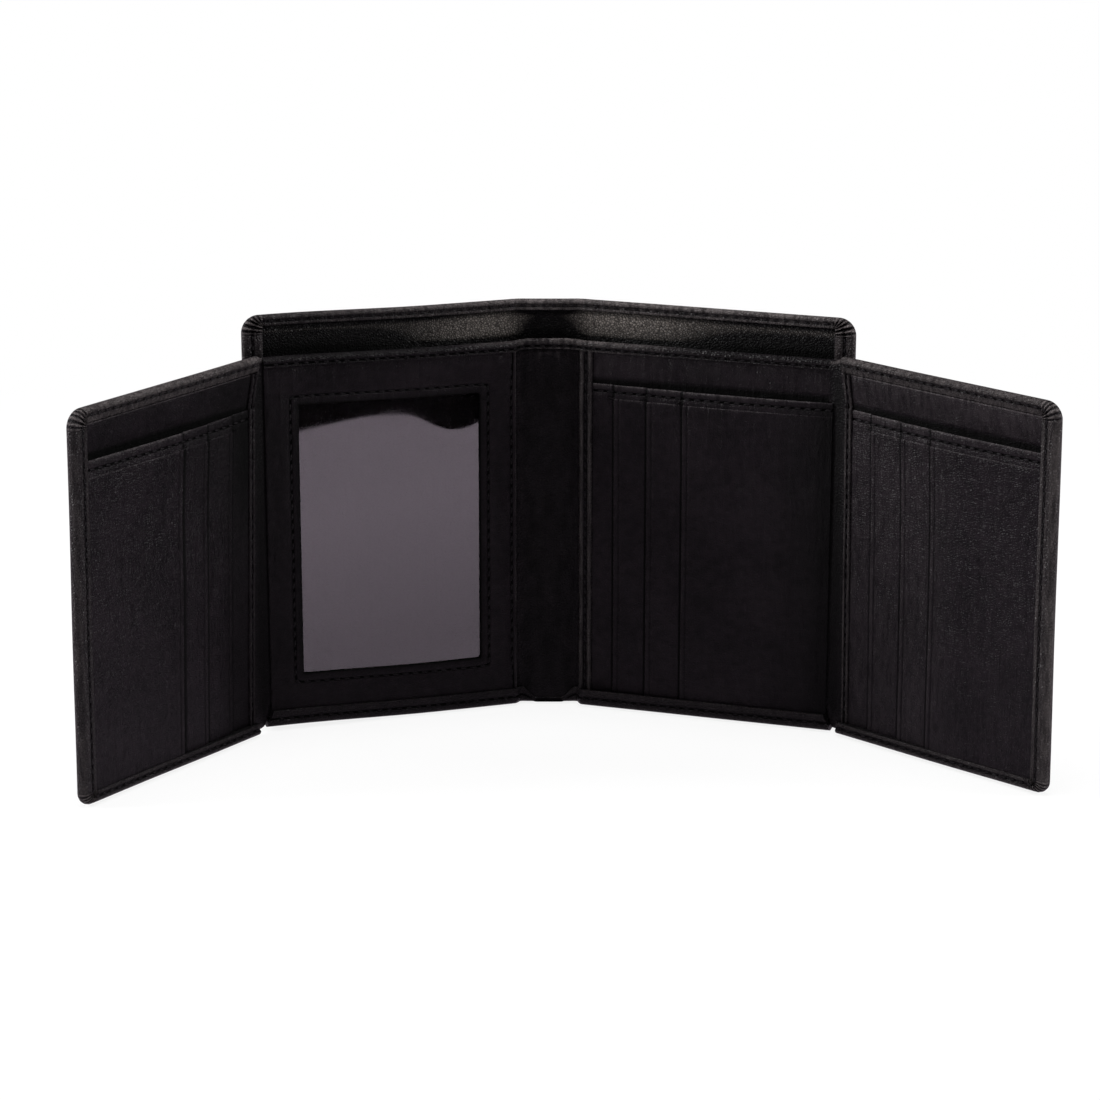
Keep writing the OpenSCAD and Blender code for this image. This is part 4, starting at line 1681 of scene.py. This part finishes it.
@dataclass
class Gusset(SidePart):
    """Soft leather web that joins a half to its wing and fills the valley between them."""

    face: float
    count: int = 19

    def path(self, knots: Sequence[Point]) -> list[Point]:
        """Draw a smooth line across the valley, as seen from above.

        Args:
            knots: Four points that pull the line.

        Returns:
            Points from the half to the wing.
        """
        line = []
        for i in range(self.count):
            k = i / (self.count - 1)
            pull = ((1 - k) ** 3, 3 * k * (1 - k) ** 2, 3 * k * k * (1 - k), k ** 3)
            line.append(tuple(sum(w * knot[n] for w, knot in zip(pull, knots)) for n in (0, 1)))
        return line

    def sides(self, z: float) -> tuple[list[Point], list[Point]]:
        """Draw the web's front and back at one height, where the wing hangs as it does there.

        Args:
            z: Height.

        Returns:
            The front line and the back line.
        """
        s, drop = self.sizes, self.stand.drop(0.0, z)
        near = s.depth(self.face)
        front = self.path((
            (73.2, near + 0.75), (75.6, near + 0.6),
            self.stand.hinged(0.2 + 0.5 * drop, 1.6), self.stand.hinged(2.3 + drop, 1.35),
        ))
        back = self.path((
            (73.6, s.depth(2.5)), (76.5, s.depth(2.5)),
            self.stand.hinged(0.2 + 0.5 * drop, 3.8), self.stand.hinged(1.8 + drop, 3.6),
        ))
        return front, back

    def build(self) -> None:
        """Build the web, with its top and foot rolled in."""
        s, side = self.sizes, self.side
        # Height from the end, distance behind the face, and rub with painted shading
        roll = (
            (0.0, 1.15, 0.5), (0.1, 0.7, 0.5), (0.35, 0.32, 0.45), (0.75, 0.1, 0.2),
            (1.3, 0.0, -0.2),
        )
        tall = roll[-1][0]
        rows = [(0.0, off, inset, rub_and_shading) for off, inset, rub_and_shading in roll]
        rows += [(t, 0.0, 0.0, 0.0) for t in lines(0.0, 1.0, 0.022)[1:-1]]
        rows += [(1.0, -off, inset, rub_and_shading) for off, inset, rub_and_shading in reversed(roll)]
        n = self.count
        columns: Columns = []
        for i in range(2 * n + 1):
            behind = n <= i < 2 * n
            col = 2 * n - 1 - i if behind else i % (2 * n)
            k = col / (n - 1)
            low = 8.2 - 7.4 * smooth(0.0, 0.5, k)
            high = s.wall_h - 0.2 + 1.5 * smooth(0.2, 0.9, k)
            up = self.stand.level(s.panel_end) * smooth(0.7, 0.0, k)
            valley = math.sin(math.pi * k)
            columns.append([])
            for t, off, inset, rub_and_shading in rows:
                z = between(low + tall, high - tall, t)
                if t in (0.0, 1.0):
                    z = off + (high if t else low)
                a, b = (Vector(line[col]) for line in self.sides(z))
                if behind:
                    a, b = b, a
                else:
                    crinkle = 0.2 * noise.noise(Vector((k * 5.0, z / 9.0, 3.0)))
                    crinkle += 0.12 * noise.noise(Vector((k * 12.0, z / 15.0, 6.0)))
                    a = a + Vector((0.0, crinkle * valley))
                a = a + (b - a).normalized() * inset
                # Painted shade down the middle of the web, deepest in the valley
                dark = 0.75 * max(0.0, valley) ** 0.5 * smooth(0.0, 0.05, t) * smooth(1.0, 0.95, t)
                columns[-1].append((Vector((a.x, a.y, z + up)), 0.0 if behind else rub_and_shading - dark))
        obj = Work().tube(columns).piece(
            f"{side}_gusset_leather", self.stand.rigid, self.finishes.cover, f"{side}_gusset"
        )
        front = self.sides(0.5 * s.wing_h)[0]
        start = self.stand.rigid(Vector((*front[n // 5], 0.0)))
        end = self.stand.rigid(Vector((*front[n - 1 - n // 5], 0.0)))
        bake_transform(obj)


@dataclass
class Studio:
    """White paper floor, soft light and the camera."""

    lens: float = 120.86
    eye: tuple[float, float, float] = (0.000371, -1.01805, 0.36662)
    pitch: float = 17.52

    def build(self) -> None:
        """Set up the floor, the light and the camera."""
        self._camera()
        self._floor()
        self._light()
        bpy.context.scene.view_settings.view_transform = "Standard"

    def _camera(self) -> None:
        """Stand the camera where the photograph was taken from."""
        data = bpy.data.cameras.new("camera")
        data.lens = self.lens
        data.sensor_width = 36.0
        data.clip_start = 0.01
        camera = bpy.data.objects.new("camera", data)
        camera.location = self.eye
        camera.rotation_euler = (math.radians(90.0 - self.pitch), 0.0, 0.0)
        bpy.context.scene.collection.objects.link(camera)
        bpy.context.scene.camera = camera

    def _floor(self) -> None:
        """Lay a white paper floor whose front end stops short of the camera."""
        bm = bmesh.new()
        bmesh.ops.create_grid(bm, x_segments=8, y_segments=8, size=4.0)
        mesh = bpy.data.meshes.new("floor")
        bm.to_mesh(mesh)
        bm.free()
        floor = bpy.data.objects.new("floor", mesh)
        floor.location.z = -0.0004
        bpy.context.scene.collection.objects.link(floor)
        g = Graph(bpy.data.materials.new("white_paper"))
        path = g.add("LightPath").outputs
        where = g.add("NewGeometry").outputs["Position"]
        across = g.add("SeparateXYZ", {0: where}).outputs[1]
        away = g.add("VectorMath", {0: where}, operation="LENGTH").outputs["Value"]
        # Past the paper's front end, gloss sees the dark room
        paper = g.ranged(across, -0.2955, -0.2925, 0.0, 1.0)
        # Seen in reflections the paper glows less near the wallet, as painted shade
        lit = g.ranged(across, -0.19, -0.07, 0.98, 0.68)
        strength = g.maths("MAXIMUM", path["Is Camera Ray"], g.maths("MULTIPLY", paper, lit))
        gloss = path["Is Glossy Ray"]
        seen = g.maths("MULTIPLY", path["Is Camera Ray"], g.ranged(away, 0.16, 0.4, 0.85, 1.0))
        seen = g.maths("MAXIMUM", g.maths("MAXIMUM", seen, gloss), path["Is Transmission Ray"])
        tint = g.mix(path["Is Camera Ray"], (1.0, 0.86, 1.0, 1.0), (1.0, 1.0, 1.0, 1.0))
        white = g.add("Emission", {"Color": tint, "Strength": strength})
        plain = g.add("BsdfDiffuse", {"Color": (0.92, 0.92, 0.92, 1.0)})
        mixed = g.add("MixShader", {0: seen, 1: plain.outputs[0], 2: white.outputs[0]})
        mesh.materials.append(g.close(mixed.outputs[0]))

    def _light(self) -> None:
        """Hang soft lamps overhead and to the sides, in a dim room that looks white."""
        aim = Vector((0.0, -0.04, 0.06))
        lamps = (
            ("overhead", (0.0, -0.1, 1.0), 0.5, 9.0),
            ("left_fill", (-1.0, -0.05, 0.5), 0.4, 14.5),
            ("right_fill", (1.0, -0.05, 0.5), 0.4, 8.5),
        )
        for name, where, size, power in lamps:
            data = bpy.data.lights.new(name, "AREA")
            data.size = size
            data.energy = power
            lamp = bpy.data.objects.new(name, data)
            lamp.location = where
            lamp.rotation_euler = (aim - Vector(where)).to_track_quat("-Z", "Y").to_euler()
            bpy.context.scene.collection.objects.link(lamp)
        g = Graph(bpy.data.worlds.new("white_room"))
        seen = g.add("LightPath").outputs["Is Camera Ray"]
        back = g.add("Background", {"Strength": g.ranged(seen, 0.0, 1.0, 0.08, 1.0)})
        bpy.context.scene.world = g.close(back.outputs[0], "OutputWorld")


def main() -> None:
    """Build the studio and every part of the wallet."""
    logging.basicConfig(level=logging.INFO, format="%(message)s")
    sizes, finishes = Sizes(), Finishes()
    Studio().build()
    left = Stand(Side.LEFT, sizes, lift=17.3, turn=35.0, sag=((3.0, 0.6), (-0.9, -1.2)), raised=0.8)
    right = Stand(Side.RIGHT, sizes, lift=17.3, turn=25.0, sag=((1.9, 0.6), (0.3, -0.3)))
    # Each side with the depth of its panels' faces at the foot and at the top
    sides = (left, sizes.frame_v, sizes.frame_v), (right, sizes.bank_v, sizes.panel_v)
    for stand, face, wall_face in sides:
        cover = Cover(stand, finishes, face)
        cover.build()
        NoteWall(cover, wall_face).build()
        Wing(stand, finishes).build()
        Gusset(stand, finishes, face).build()
    IdWindow(left, finishes).build()
    CardBank(
        prefix="", panel_node="card_panel", body="right_half", place=right.half, finishes=finishes,
        slots=(10.8, 20.6, 31.2), x0=sizes.panel_u, x1=sizes.panel_end, foot=sizes.cover_t,
        top=sizes.wall_h - sizes.wall_hem, base=sizes.depth(sizes.panel_v),
        panel_h=sizes.panel_top, rise=0.0, gape=0.7, gape_at=1.6, seed=9.0, hem=3.9,
        trim_in=-0.9, seam_drop=2.05, tone=Tone(strip=0.12, far_painted_shade=0.8),
    ).build()


if __name__ == "__main__":
    main()
